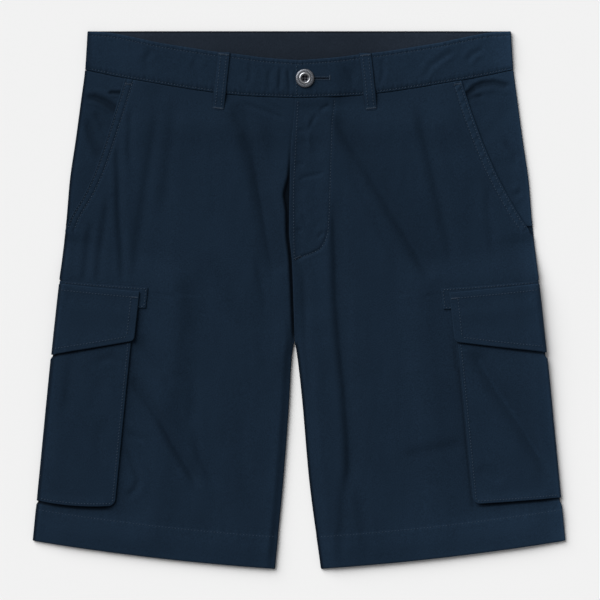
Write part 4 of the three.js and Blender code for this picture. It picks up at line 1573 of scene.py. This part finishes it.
@dataclass
class BeltLoops:
    """Straps over the waistband, two on the front and three under the back."""

    plan: Plan
    lie: Lie
    width: float = 13.0
    arch: float = 0.3
    thick: float = 1.0
    tone: float = 1.1
    fronts: tuple[tuple[str, float, float, float, float], ...] = (
        ("front_left", 67.3, 254.2, 73.7, 195.0),
        ("front_right", -77.6, 255.0, -84.0, 195.2),
    )
    backs: tuple[tuple[str, float], ...] = (("back_left", 118), ("back_centre", 0), ("back_right", -118))

    def strap(self, name: str, ends: tuple[float, ...], height: Callable, share: np.ndarray) -> None:
        """Makes one strap.

        Args:
            name: which loop it is.
            ends: x and y of the middle of its upper and its lower end.
            height: function of x, y and share that gives its middle surface.
            share: places down the strap.
        """
        side = spaced([-0.5, -0.46, -0.38, 0.38, 0.46, 0.5], [0.02, 0.03, 0.11, 0.03, 0.02])[None, :]
        down = share[:, None]
        top_x, top_y, bottom_x, bottom_y = ends
        mid_x, mid_y = mix(top_x, bottom_x, down), mix(top_y, bottom_y, down)
        x = mid_x + side * self.width
        y = np.repeat(mid_y, side.size, axis=1)
        z = height(mid_x, mid_y, down) - 0.4 * (2 * side) ** 4
        columns = np.array([0.35, 0.7, *np.ones(side.size - 4), 0.7, 0.35])
        rims = rim_profile(x.shape[0])[:, None] * columns[None, :]
        # Painted shade along both sides of each strap.
        tone = self.tone * (1.0 - 0.4 * ramp(np.abs(side), 0.4, 0.47)) * np.ones_like(x)
        piece = ClothPiece(f"belt_loop_cloth_{name}")
        piece.make(Shell(np.stack([x, y, z], axis=2), self.thick * rims), tone)

    def build(self) -> None:
        """Makes all five loops."""
        lie, plan = self.lie, self.plan

        def front_height(x: np.ndarray, y: np.ndarray, share: np.ndarray) -> np.ndarray:
            """Middle surface of a strap over the band and the front.

            Args:
                x: places across the garment.
                y: places along the garment.
                share: places down the strap.

            Returns:
                The height in millimetres.
            """
            seam = plan.band_seam.at(np.abs(x))
            on_band = lie.band + lie.band_loft
            under = mix(lie.cloth + lie.loft, on_band, ramp(y, seam - 14, seam + 1)) + lie.loop_lift(x, y)
            return under + 0.1 + self.thick / 2 + self.arch * np.sin(np.pi * share) ** 0.7

        def back_height(x: np.ndarray, _y: np.ndarray, _share: np.ndarray) -> np.ndarray:
            """Middle surface of a strap that lies on the table."""
            return np.full_like(x, lie.strap / 2 + 0.05)

        share = spaced([0.0, 0.02, 0.98, 1.0], [0.007, 0.03, 0.007])
        for name, *ends in self.fronts:
            self.strap(name, ends, front_height, share)
        for name, x in self.backs:
            self.strap(name, (x, plan.waist_top, x, 222.0), back_height, share)


@dataclass
class WaistButton:
    """Shank button with a wide ribbed flange, a bright ring and four holes."""

    x: float = 5.4
    y: float = 228.1
    seat: float = 9.5
    under: float = 7.0
    radius: float = 9.6
    ribs: int = 60
    hole: float = 1.1
    spread: float = 1.4
    sides: int = 120

    def lathe(
        self, name: str, profile: list[tuple[float, float]], finish: Finish, wave: tuple[int, ...] = ()
    ) -> bpy.types.Object:
        """Turned piece from a profile of radius and height.

        Args:
            name: the piece's name.
            profile: radius and height of each ring, from the bottom to the top.
            finish: finish of the piece.
            wave: numbers of the rings whose height follows the flange's ribs.

        Returns:
            The new object.
        """
        angle = np.linspace(0, 2 * np.pi, self.sides, endpoint=False)
        rings = []
        for order, (radius, height) in enumerate(profile):
            rib = (0.09 if order in wave else 0.0) * np.cos(self.ribs * angle / 2)
            ring = [self.x + radius * np.cos(angle), self.y + radius * np.sin(angle), height + rib]
            rings.append(np.stack(ring, axis=1))
        points = np.concatenate(rings)
        index = np.arange(len(points)).reshape(len(profile), self.sides)
        after = np.roll(index, -1, axis=1)
        faces = np.stack([index[:-1], after[:-1], after[1:], index[1:]], axis=-1).reshape(-1, 4)
        return mesh_piece(name, points, faces, finish, Slot.METAL)

    def build(self) -> None:
        """Makes the flange with its post, the bright ring and the sunk middle."""
        s, r = self.seat, self.radius
        flange = [
            (0.02, self.under),
            (1.0, self.under),
            (1.0, s),
            (r - 0.6, s),
            (r - 0.1, s + 0.3),
            (r, s + 0.8),
            (r - 0.15, s + 1.4),
            (r - 0.7, s + 1.9),
            (r - 1.3, s + 2.05),
            (r - 2.6, s + 2.05),
            (r - 3.3, s + 2.0),
            (r - 3.55, s + 1.5),
        ]
        piece = self.lathe("waist_button_flange", flange, DULL_METAL, wave=(8, 9))
        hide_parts("waist_button")
        ring = [
            (r - 3.5, s + 1.4),
            (r - 3.45, s + 2.3),
            (r - 3.7, s + 2.8),
            (r - 4.2, s + 3.05),
            (r - 4.8, s + 3.1),
            (r - 5.3, s + 2.85),
            (r - 5.6, s + 2.3),
            (r - 5.75, s + 1.1),
        ]
        self.lathe("waist_button_ring", ring, BRIGHT_METAL)
        well = [(r - 5.6, s + 1.2), (r - 6.0, s + 1.0), (0.02, s + 1.0)]
        self.lathe("waist_button_middle", well, DARK_METAL)
        self.holes(s + 1.1)

    def holes(self, height: float) -> None:
        """Lays the four holes of the sewn middle as dark discs of painted shade.

        Args:
            height: height of their rims.
        """
        angle = np.linspace(0, 2 * np.pi, 20, endpoint=False)
        rings = []
        for turn in (45, 135, 225, 315):
            x = self.x + self.spread * math.cos(math.radians(turn)) * math.sqrt(2.0)
            y = self.y + self.spread * math.sin(math.radians(turn)) * math.sqrt(2.0)
            for radius, rise in ((self.hole + 0.2, -0.1), (self.hole, 0.0), (0.02, -0.06)):
                ring = [x + radius * np.cos(angle), y + radius * np.sin(angle), np.full(20, height + rise)]
                rings.append(np.stack(ring, axis=1))
        index = np.arange(12 * 20).reshape(4, 3, 20)
        after = np.roll(index, -1, axis=2)
        faces = np.stack([index[:, :-1], after[:, :-1], after[:, 1:], index[:, 1:]], axis=-1).reshape(-1, 4)
        mesh_piece("waist_button_holes", np.concatenate(rings), faces, HOLE_SHADE, Slot.METAL)


@dataclass(frozen=True)
class SewnRow:
    """One row of stitches on one piece, or a bar of close ones."""

    piece: str
    path: tuple[tuple[float, float], ...]
    pitch: float = 3.15
    length: float = 1.6
    radius: float = 0.32
    turn: float = 0.0

    @staticmethod
    def bar(piece: str, path: Points, length: float = 1.7) -> "SewnRow":
        """Bar of close stitches that lie across its path."""
        return SewnRow(piece, path, pitch=0.75, length=length, radius=0.26, turn=84.0)

    def stitches(self) -> tuple[np.ndarray, np.ndarray]:
        """Middle and direction of every stitch.

        Returns:
            Two arrays with a plan position and a unit direction for each stitch.
        """
        points = np.array(self.path, dtype=float)
        steps = np.diff(points, axis=0)
        lengths = np.hypot(*steps.T)
        starts = np.concatenate([[0.0], np.cumsum(lengths)])
        count = max(1, int(starts[-1] / self.pitch))
        at = (np.arange(count) + 0.5) * starts[-1] / count
        index = np.clip(np.searchsorted(starts, at, side="right") - 1, 0, len(lengths) - 1)
        unit = steps[index] / lengths[index, None]
        middle = points[index] + unit * (at - starts[index])[:, None]
        sine, cosine = math.sin(math.radians(self.turn)), math.cos(math.radians(self.turn))
        across, along = unit.T
        turned = np.stack([across * cosine - along * sine, across * sine + along * cosine], axis=1)
        return middle, turned


@dataclass
class Sewing:
    """All visible stitches, laid on the pieces that are already built."""

    plan: Plan
    pockets: CargoPockets
    bands: Waistbands
    loops: BeltLoops
    sides: int = 6
    sink: float = 0.3
    surfaces: dict = field(default_factory=dict)

    def height(self, piece: str, x: float, y: float) -> float | None:
        """Height of a piece's upper face.

        Args:
            piece: name of the piece.
            x: place across the garment.
            y: place along the garment.

        Returns:
            The height in millimetres, or None beside the piece.
        """
        if piece not in self.surfaces:
            depsgraph = bpy.context.evaluated_depsgraph_get()
            self.surfaces[piece] = BVHTree.FromObject(bpy.data.objects[piece], depsgraph)
        hit = self.surfaces[piece].ray_cast(Vector((x * MM, y * MM, 0.05)), Vector((0, 0, -1)))[0]
        return None if hit is None else hit.z / MM

    def capsules(self, row: SewnRow) -> list[np.ndarray]:
        """Corners of each stitch of a row: two tips and two rings.

        Args:
            row: the sewn row.

        Returns:
            One array of points for each stitch.
        """
        made = []
        angle = np.linspace(0, 2 * np.pi, self.sides, endpoint=False)
        for order, (middle, unit) in enumerate(zip(*row.stitches())):
            half = row.length / 2 * (1 + 0.06 * math.sin(2.3 * order))
            ends = [middle - unit * half, middle + unit * half]
            heights = [self.height(row.piece, *end) for end in ends]
            if None in heights:
                continue
            lift = row.radius * (1 - self.sink)
            start, stop = (np.array([*end, z + lift]) for end, z in zip(ends, heights))
            along = (stop - start) / np.linalg.norm(stop - start)
            side = np.cross((0.0, 0.0, 1.0), along)
            side /= np.linalg.norm(side)
            up = np.cross(along, side)
            ring = row.radius * (np.cos(angle)[:, None] * side + np.sin(angle)[:, None] * up)
            inner = (stop - start) * 0.2
            dip = up * row.radius * 0.9
            made.append(np.concatenate([[start - dip], start + inner + ring, stop - inner + ring, [stop - dip]]))
        return made

    def build(self, name: str, rows: list[SewnRow]) -> None:
        """Joins the stitches of several rows into one piece.

        Args:
            name: the piece's name.
            rows: the rows.
        """
        stitches = [capsule for row in rows for capsule in self.capsules(row)]
        n = self.sides
        ring = np.arange(n)
        after = (ring + 1) % n
        last = np.full(n, 2 * n + 1)
        faces = np.concatenate(
            [
                np.stack([np.zeros(n, int), 1 + after, 1 + ring], axis=1),
                np.stack([1 + ring, 1 + after, 1 + n + after], axis=1),
                np.stack([1 + ring, 1 + n + after, 1 + n + ring], axis=1),
                np.stack([1 + n + ring, 1 + n + after, last], axis=1),
            ]
        )
        offsets = np.arange(len(stitches))[:, None, None] * (2 * n + 2)
        points = np.concatenate(stitches)
        mesh_piece(name, points, (faces[None] + offsets).reshape(-1, 3), NAVY_THREAD, Slot.THREAD)
        LOG.info("%s: %d stitches", name, len(stitches))

    def fly(self) -> None:
        """Rows that close the fly, with their bars."""
        piece = "front_leg_cloth_left"
        edge = ((-1.8, 205), (-2.2, 197.8), (-4.5, 152.4), (-6.3, 117.4), (-6.3, 90.6), (-5.6, 41))
        closing = ((36.3, 206), (34.7, 192.6), (33.2, 179.2), (32.5, 154.5), (31.4, 122.6))
        closing += ((30.4, 90.1), (29.5, 73.5), (28.4, 66), (25.8, 59.7), (21.3, 52.5), (12, 47.8))
        closing += ((2.8, 44.6), (-5.6, 41))
        rows = [SewnRow(piece, edge), SewnRow(piece, closing)]
        rows.append(SewnRow.bar(piece, ((-5.0, 42.6), (1.2, 45.2))))
        self.build("stitches_fly", rows)

    def slants(self) -> None:
        """Two rows along each slanted pocket opening and the bars at its ends."""
        rows = []
        levels = np.linspace(225.5, 74.0, 60)
        for hand in Hand:
            piece = f"front_leg_cloth_{hand.word}"
            for off in (2.2, 9.0):
                x = hand.value * (self.plan.slant(hand, levels) - off)
                rows.append(SewnRow(piece, path_of(x, levels)))
            top = float(self.plan.slant(hand, 222.5))
            bar = ((hand.value * (top - 1.6), 222.6), (hand.value * (top - 9.0), 222.0))
            rows.append(SewnRow.bar(piece, bar))
        self.build("stitches_slant_pockets", rows)

    def hems(self) -> None:
        """Row that holds each hem."""
        rows = []
        level = self.plan.hem_row - 0.8
        share = np.linspace(0.012, 0.985, 60)
        for hand in Hand:
            inner_y = float(self.plan.inner_y(level))
            inner_x = float(self.plan.inner_x(hand, inner_y))
            outer_x = hand.value * float(self.plan.leg_side(level))
            x = mix(outer_x, inner_x, share)
            y = mix(level, inner_y, share) - self.plan.row_bow * 4 * share * (1 - share)
            piece = f"front_leg_cloth_{hand.word}"
            rows.append(SewnRow(piece, path_of(x, y), pitch=3.3, length=1.25, radius=0.27))
        self.build("stitches_hems", rows)

    def waist(self) -> None:
        """Rows along both edges of the front waistbands and at the lap's end."""
        rows = []
        for hand, last in ((Hand.LEFT, -3.2), (Hand.RIGHT, 7.0)):
            piece = f"waistband_cloth_front_{hand.word}"
            x = hand.value * np.linspace(213.5, last, 90)
            rows.append(SewnRow(piece, path_of(x, self.plan.band_top.at(np.abs(x)) - 4.4)))
            low = path_of(x, self.plan.band_seam.at(np.abs(x)) + 2.1)
            rows.append(SewnRow(piece, low, turn=14.0 * hand.value))
        rows.append(SewnRow("waistband_cloth_front_left", ((-3.2, 241.6), (-3.2, 210.6))))
        self.build("stitches_waistband", rows)

    def cargo(self) -> None:
        """Rows on the flaps, the stays and the bags of the side pockets."""
        rows = []
        pockets, plan = self.pockets, self.plan
        for hand in Hand:
            front = pockets.reach(hand)[0]
            reach = front + pockets.flap_extra

            def line(level: Values, inward: Values, hand: Hand = hand) -> Points:
                """Path through places given by level and distance in."""
                return path_of(*plan.place(hand, np.asarray(level, float), np.asarray(inward, float)))

            inward = np.linspace(3.0, reach - 1.5, 24)
            share = inward / reach
            top = mix(pockets.flap_side, pockets.flap_end, share)
            bottom = mix(pockets.flap_low(hand), pockets.flap_bottom_end, share)
            flap = f"cargo_flap_cloth_{hand.word}"
            rows.append(SewnRow(flap, line(top - 6.3, inward)))
            rows.append(SewnRow(flap, line(bottom[:-2] + 5.6, inward[:-2])))
            rows.append(SewnRow(flap, line(np.linspace(12.0, -26.0, 12), np.full(12, reach - 8.0))))
            rows.append(SewnRow.bar(flap, line([12.6, 12.4], [reach - 1.2, reach - 8.4])))
            stay = f"flap_stay_cloth_{hand.word}"
            inward = np.linspace(6.0, reach + 6.0, 24)
            share = (inward - 3.0) / (reach + 5.0)
            rows.append(SewnRow(stay, line(mix(*pockets.stay_top, share) - 1.6, inward)))
            rows.append(SewnRow(stay, line(np.linspace(22.0, 4.4, 10), np.full(10, reach + 6.0))))
            rows.append(SewnRow(stay, line([4.2, 3.4], [reach + 6.0, reach - 1.0])))
            bag = f"cargo_pocket_cloth_{hand.word}"
            down = np.linspace(-22.0, plan.bag_low(hand) + 5.0, 40)
            rows.append(SewnRow(bag, line(down, np.full(40, front - 3.0))))
            inward = np.linspace(front - 4.0, 4.0, 30)
            share = inward / front
            low = plan.bag_low(hand) + 2.8 + plan.bag_skew * share + plan.bag_sag(hand, share)
            rows.append(SewnRow(bag, line(low, inward)))
        self.build("stitches_cargo_pockets", rows)

    def belt_loops(self) -> None:
        """Two rows down each front loop and a bar at both ends."""
        rows = []
        for name, top_x, top_y, bottom_x, bottom_y in self.loops.fronts:
            piece = f"belt_loop_cloth_{name}"
            top, bottom = np.array([top_x, top_y]), np.array([bottom_x, bottom_y])
            down = (bottom - top) / np.hypot(*(bottom - top))
            across = np.array([-down[1], down[0]])
            for side in (-3.0, 3.0):
                start, stop = top + down * 1.5 + across * side, bottom - down * 1.5 + across * side
                rows.append(SewnRow(piece, (tuple(start), tuple(stop))))
            for middle in (top + down * 2.2, bottom - down * 2.4):
                bar = (tuple(middle - across * 5.3), tuple(middle + across * 5.3))
                rows.append(SewnRow.bar(piece, bar, 1.9))
        self.build("stitches_belt_loops", rows)

    def buttonhole(self) -> None:
        """Close stitches round the buttonhole."""
        piece = "waistband_cloth_front_left"
        close = {"radius": 0.26, "turn": 88.0}
        y = self.bands.hole_y
        rows = [
            SewnRow(piece, ((13.5, y + side), (29.6, y + side)), pitch=0.95, length=1.2, **close)
            for side in (-1.25, 1.25)
        ]
        end = ((31.0, 226.2), (31.0, 231.4))
        rows.append(SewnRow(piece, end, pitch=0.6, length=1.6, radius=0.3, turn=88.0))
        self.build("stitches_buttonhole", rows)

    def everything(self) -> None:
        """Lays every row."""
        self.fly()
        self.slants()
        self.hems()
        self.waist()
        self.cargo()
        self.belt_loops()
        self.buttonhole()


@dataclass
class Stage:
    """Surface under the shorts, lights and camera."""

    lens: float = 200.0
    sensor: float = 36.0
    seen: float = 0.618
    plane: float = 0.005
    key_strength: float = 4.15
    key_angle: float = 55.0
    sky_strength: float = 0.26

    def floor(self) -> None:
        """Lays the large pale plane under the shorts."""
        half = 6.0
        corners = np.array([(-half, -half, 0), (half, -half, 0), (half, half, 0), (-half, half, 0)])
        mesh = bpy.data.meshes.new("floor")
        mesh.from_pydata(corners.tolist(), [], [(0, 1, 2, 3)])
        mesh.materials.append(PALE.material())
        floor = bpy.data.objects.new("floor", mesh)
        bpy.context.scene.collection.objects.link(floor)

    def light(self) -> None:
        """Sets a soft key light from the upper left and an even sky."""
        sun = bpy.data.lights.new("key", "SUN")
        sun.energy = self.key_strength
        sun.angle = math.radians(self.key_angle)
        key = bpy.data.objects.new("key", sun)
        towards = Vector((0.98, -1.08, -1.0))
        key.rotation_mode = "QUATERNION"
        key.rotation_quaternion = towards.to_track_quat("-Z", "Y")
        bpy.context.scene.collection.objects.link(key)
        world = bpy.data.worlds.new("sky")
        world.use_nodes = True
        back = world.node_tree.nodes["Background"]
        feed(back, {"Color": (1.0, 1.0, 1.0, 1.0), "Strength": self.sky_strength})
        bpy.context.scene.world = world

    def camera(self) -> None:
        """Sets the camera straight above the middle of the garment."""
        data = bpy.data.cameras.new("camera")
        data.lens = self.lens
        data.sensor_width = self.sensor
        data.clip_end = 50.0
        camera = bpy.data.objects.new("camera", data)
        camera.location = (0.00026, 0.0, self.plane + self.seen * self.lens / self.sensor)
        bpy.context.scene.collection.objects.link(camera)
        bpy.context.scene.camera = camera

    def build(self) -> None:
        """Sets the floor, the lights, the camera and plain colours."""
        self.floor()
        self.light()
        self.camera()
        bpy.context.scene.view_settings.view_transform = "Standard"


FRONT_FOLDS = folds(
    # Long trough beside the fly and down the left leg
    (2.5, 4.2, 11, 0.3, 0.14, (34.2, 113.3, 35.7, 82.4, 37.3, 41.2, 38.3, 0, 41.9, -41.2, 46, -82.4,
     48.6, -113.3, 50.7, -144.2, 51.6, -175.1, 50.4, -206)),
    # Its two branches above the hem
    (0.9, 5, 6.5, 0.1, 0.3, (51.5, -150.4, 49, -175.1, 45.5, -206, 44, -236.9, 42, -283.2)),
    (0.7, 6, 7, 0.1, 0.3, (53, -160.7, 59.4, -195.7, 66.7, -226.6, 69.3, -252, 69, -283.2)),
    # Diagonal from the fly to the flap
    (3.3, 6, 8, 0.4, 0.1, (33.7, 193.6, 37.8, 187.5, 51.2, 164.8, 75.9, 123.6, 100.6, 82.4, 125.4, 41.2,
     138.7, 20.6)),
    # Fainter one below it
    (0.8, 4.5, 6, 0.1, 0.2, (46, 158.6, 57.4, 123.6, 79, 82.4, 99.6, 41.2, 105, 25)),
    # From the left belt loop to the flap
    (1.5, 5, 7, 0.3, 0.16, (119, 208.1, 130, 164.8, 139.3, 123.6, 148.5, 82.4, 157, 46.4, 160, 33)),
    # Short one by the left slant
    (0.6, 3.5, 5, 0.1, 0.25, (196, 128.8, 194, 97.9, 197, 67, 201.1, 33)),
    # Wide one by the left slant
    (0.5, 8, 8, 0, 0.3, (180.4, 139.1, 178.4, 97.9, 173.2, 61.8)),
    # Beside the left inseam
    (0.8, 3.6, 5, 0.2, 0.2, (2.3, 39.1, 5.4, 5.2, 6.4, -41.2, 13.6, -103)),
    # From the pocket edge across the left leg
    (0.9, 5.5, 9, 0.1, 0.25, (182, -148.5, 166, -149.5, 148, -152.4, 125, -157.5, 98, -163)),
    # Diagonal beside the fly on the right leg
    (3.4, 8, 8.5, 0.3, 0.12, (-70, 205, -64.3, 195.8, -54, 175.1, -43.7, 133.9, -33.3, 92.7, -24, 51.5,
     -17.8, 25.8)),
    # From the right belt loop to the fly
    (0.8, 2.5, 3, 0.2, 0.25, (-64.7, 206, -48.2, 198.8, -29.6, 192.6, -11.1, 184.4)),
    # Second short one there
    (0.6, 2.2, 2.5, 0.1, 0.25, (-42, 207.1, -27.6, 199.8, -11.1, 191.6)),
    # Narrow one by the right slant
    (1.5, 3, 4.5, 0.3, 0.15, (-187.7, 164.8, -186.7, 145.2, -185.7, 118.5, -185.7, 92.7, -182.6, 51.5,
     -181, 14)),
    # Beside it
    (1.1, 5, 7, 0.2, 0.15, (-144, 206, -148.1, 175.1, -154.3, 133.9, -160.5, 92.7, -166.7, 51.5, -170, 14)),
    # Wide one toward the right belt loop
    (1.1, 7, 8, 0.1, 0.25, (-128.6, 212.2, -130.6, 175.1, -133.7, 144.2, -137.8, 108.2, -144, 77.2)),
    # Short one at the right slant's stitching
    (1, 3.2, 4.5, 0.2, 0.22, (-173, 202.9, -173.3, 175.1, -175, 154.5, -172, 136)),
    # Two by the right side seam
    (0.8, 3.2, 4.2, 0.2, 0.2, (-198.1, 112, -198.1, 92.7, -204.2, 51.5, -208, 12)),
    (0.9, 3.2, 4.2, 0.3, 0.2, (-213, 82.4, -216.6, 61.8, -218, 46.4, -221, 12)),
    # Soft one over the right thigh
    (0.6, 9, 10, 0, 0.25, (-121, 60, -116, 20, -111, -20, -108, -50)),
    # Soft one down the right leg
    (0.9, 8, 9, 0, 0.25, (-84.2, 39.1, -71.8, 12.4, -58.5, -18.4, -51.2, -41.2)),
    # Fine line beside it
    (0.4, 3, 4, 0.1, 0.25, (-46.1, 46.4, -38.9, 15.5, -33.8, -15.5)),
    # Strong diagonal below the right flap
    (2.6, 3.8, 5, 0.4, 0.14, (-181, -68, -172.3, -82.4, -156.9, -103, -142.4, -123.6, -132.1, -144.2,
     -119.8, -164.8, -107.4, -185.4, -101, -196)),
    # Upper diagonal below the right flap
    (0.9, 5, 6, 0.1, 0.2, (-165.6, -31.9, -155.3, -50.4, -146.1, -61.7, -137.8, -75.1, -129.6, -93.7)),
    # Loop beside the right pocket's corner
    (0.9, 3, 3.5, 0.3, 0.15, (-188.2, -147.3, -175.9, -159.7, -168.7, -173, -164.5, -185.4,
     -168.7, -195.7, -180, -205)),
    # Short one above it
    (0.8, 3, 3.5, 0.3, 0.2, (-187.2, -125.7, -173.8, -138, -158.4, -146.3)),
    # Faint one beside the strong diagonal
    (0.9, 4, 5, 0.1, 0.25, (-112, -130, -106.4, -144.2, -101, -165, -89, -185.4, -82, -196)),
    # Wide one down the right leg
    (0.7, 10, 9, 0, 0.25, (-66, -80, -61, -123.6, -59.5, -154.7, -56, -195.7, -53, -236.9)),
    # Faint one in the right leg's middle
    (0.5, 5, 6, 0, 0.3, (-110, -74.2, -109, -103, -111, -133.9)),
    # By the right inseam
    (0.4, 4, 5, 0.1, 0.3, (-44.1, -36.1, -35.8, -56.6, -31.7, -77.2)),
)

POCKET_FOLDS = folds(
    # Diagonal of the left pocket
    (2.4, 6.5, 8.5, 0.3, 0.12, (172.2, -50.5, 184.1, -61.8, 193.3, -76.1, 202.6, -92.7, 212.9, -107,
     224.2, -123.6, 234, -139.1, 242.8, -154.5, 252.5, -168.7, 263.9, -187.5)),
    # Soft one above the left pocket's bottom
    (0.9, 6, 7, 0, 0.3, (179.5, -173, 196, -179.2, 210.4, -188.5)),
    # Curved crease of the right pocket
    (0.55, 3.5, 4.5, 0.15, 0.3, (-210.8, -70.2, -203.7, -62.9, -193.4, -59.7, -184.1, -64.8, -179.8, -74)),
    # Long faint one of the right pocket
    (0.45, 5.5, 7, 0.1, 0.35, (-201.6, -74.2, -208.8, -97.9, -213, -118.5)),
    # Lower faint one
    (0.5, 5.5, 7, 0.1, 0.35, (-199.6, -118.5, -204.7, -144.2, -202.7, -177.2)),
    # Soft one by the right pocket's outer edge
    (0.8, 7, 8, 0, 0.3, (-232.5, -53.6, -235.6, -87.5, -240.8, -123.6)),
)

FLY_FOLDS = folds(
    # Sewn line that closes the fly, down its side and round its end
    (0.45, 0.9, 0.9, 0, 0.02, (36.3, 207, 34.7, 192.6, 33.2, 179.2, 32.5, 154.5, 31.4, 122.6, 30.4, 90.1,
     29.5, 73.5)),
    (1.3, 1.4, 1.3, 0, 0.06, (29.5, 73.5, 25.8, 59.7, 21.3, 52.5, 12, 47.8, 2.8, 44.6, -6.3, 40.5)),
    # Puckers between the two sewn lines
    (0.8, 1.5, 1.8, 0, 0.3, (-4.9, 139.4, 0, 139.9, 6.4, 139.8)),
    (1, 2, 2.2, 0, 0.25, (-1.8, 121.5, 3.3, 125.7, 10.6, 127.7, 18, 129, 27, 131.8)),
    (0.9, 1.6, 1.8, 0, 0.3, (-3.9, 73.5, 0, 71.5, 3.3, 70)),
    (0.6, 1.8, 2, 0, 0.3, (1.3, 89.6, 5, 84, 8.5, 78.3)),
    (1.1, 1.6, 1.9, 0, 0.3, (17.6, 62.8, 22, 67, 26.7, 71)),
    (0.9, 1.8, 2, 0, 0.3, (18.8, 193.6, 25, 197.8, 32.2, 201.9)),
    (0.7, 2, 2.4, 0, 0.3, (6.4, 168.9, 11.6, 181.3, 19.8, 193.6)),
    (0.6, 1.5, 1.6, 0, 0.3, (-2.8, 174, 2, 174.2, 6.4, 174)),
    (-0.7, 2.5, 3, 0, 0.3, (8.5, 195, 9.2, 170, 10.5, 148)),
)

FACING_FOLDS = folds(
    (2.6, 2.2, 3.6, 0.9, 0.35, (-225, 209, -209.9, 207, -200.6, 202.9, -188.2, 194.7, -176, 186)),
    (2.6, 1.3, 1.8, 0.6, 0.2, (-197, 213, -190, 212.9, -178, 212.5)),
    (0.8, 3, 4.5, 0.1, 0.35, (-211, 198, -206, 186, -199, 173)),
    (1.1, 3.5, 4.5, 0.3, 0.25, (-219, 188, -212, 166, -203, 142)),
    (1.7, 3.4, 2.4, 0.7, 0.15, (168, 206, 173, 212, 180.5, 219, 188.6, 222.5, 200, 223.6, 219, 219.5)),
    (2.6, 1.2, 1.6, 0.4, 0.2, (166, 207, 171, 211, 176, 214.5, 182, 218.5)),
    (0.8, 2.5, 2, 0.3, 0.25, (172, 204.5, 180, 209, 190, 211)),
    (0.6, 3, 3, 0.4, 0.3, (209, 166, 219, 154, 226, 143)),
    (0.5, 3, 3, 0.4, 0.3, (214, 112, 222, 108, 231, 114)),
)

# Soft ridges of the back panels, which are seen from underneath
BACK_FOLDS = folds(
    (-0.8, 7, 11, 0, 0.25, (-58, 185, -72, 125, -94, 62, -104, 30)),
    (-0.8, 9, 7, 0, 0.25, (52, 178, 74, 118, 104, 56, 118, 30)),
    (-0.6, 6, 8, 0, 0.25, (-146, 168, -156, 100, -170, 34)),
    (-0.6, 8, 6, 0, 0.25, (132, 172, 148, 96, 162, 34)),
    (-0.8, 6, 9, 0, 0.2, (-40, -54, -50, -120, -56, -206)),
    (-0.8, 9, 6, 0, 0.2, (44, -50, 56, -120, 60, -212)),
    (-0.6, 6, 8, 0, 0.25, (118, -84, 104, -136, 90, -190)),
    (-0.6, 8, 6, 0, 0.25, (-122, -90, -106, -138, -92, -188)),
)

BAND_FOLDS = folds(
    (0.65, 1.8, 2.2, 0.4, 0.25, (-19.5, 242, -20, 230, -21.5, 213)),
    (0.6, 1.6, 2, 0.3, 0.25, (-12, 240, -11, 228, -9.5, 212)),
    (0.5, 2.2, 2.6, 0.2, 0.25, (-30, 240, -32, 226, -31, 214)),
    (0.4, 2.2, 2.6, 0.2, 0.25, (-52, 246, -50, 232, -53, 220)),
    (0.4, 3, 4, 0.2, 0.3, (-104, 258, -108, 240, -102, 222)),
    (0.45, 2.4, 3.2, 0.4, 0.25, (126, 226, 136, 241, 150, 251, 162, 258)),
    (0.45, 2.6, 3, 0.4, 0.3, (171, 243, 178, 253, 190, 259)),
    (0.5, 2.4, 2.8, 0.2, 0.3, (43, 240, 52, 232, 56, 218)),
    (0.5, 2.2, 2.6, 0.2, 0.25, (84, 250, 86, 236, 83, 220)),
    (0.5, 3.4, 3.4, 0.2, 0.3, (-150, 262, -158, 245, -152, 232)),
)


def main() -> None:
    """Builds the shorts piece by piece, then the stage."""
    logging.basicConfig(level=logging.INFO, format="%(message)s")
    plan = Plan()
    swell = (
        Unevenness(3, 38.0, 0.28),
        Unevenness(8, 13.0, 0.16, 3.0),
        Unevenness(9, 6.0, 0.11, 4.0),
        Unevenness(10, 4.5, 0.06),
    )
    lie = Lie(plan, folds=FRONT_FOLDS, fly_folds=FLY_FOLDS, back_folds=BACK_FOLDS, swell=swell)
    legs = LegPanels(plan, lie)
    pockets = CargoPockets(plan, lie, folds=POCKET_FOLDS)
    facings = HipPockets(plan, lie, folds=FACING_FOLDS)
    bands = Waistbands(plan, lie, folds=BAND_FOLDS)
    bands.back()
    for hand in Hand:
        legs.back(hand)
        facings.build(hand)
        legs.front(hand)
        bands.front(hand)
        pockets.stay(hand)
        pockets.gusset(hand)
        pockets.bag(hand)
        pockets.flap(hand)
    loops = BeltLoops(plan, lie)
    loops.build()
    WaistButton().build()
    Sewing(plan, pockets, bands, loops).everything()
    Stage().build()


if __name__ == "__main__":
    main()
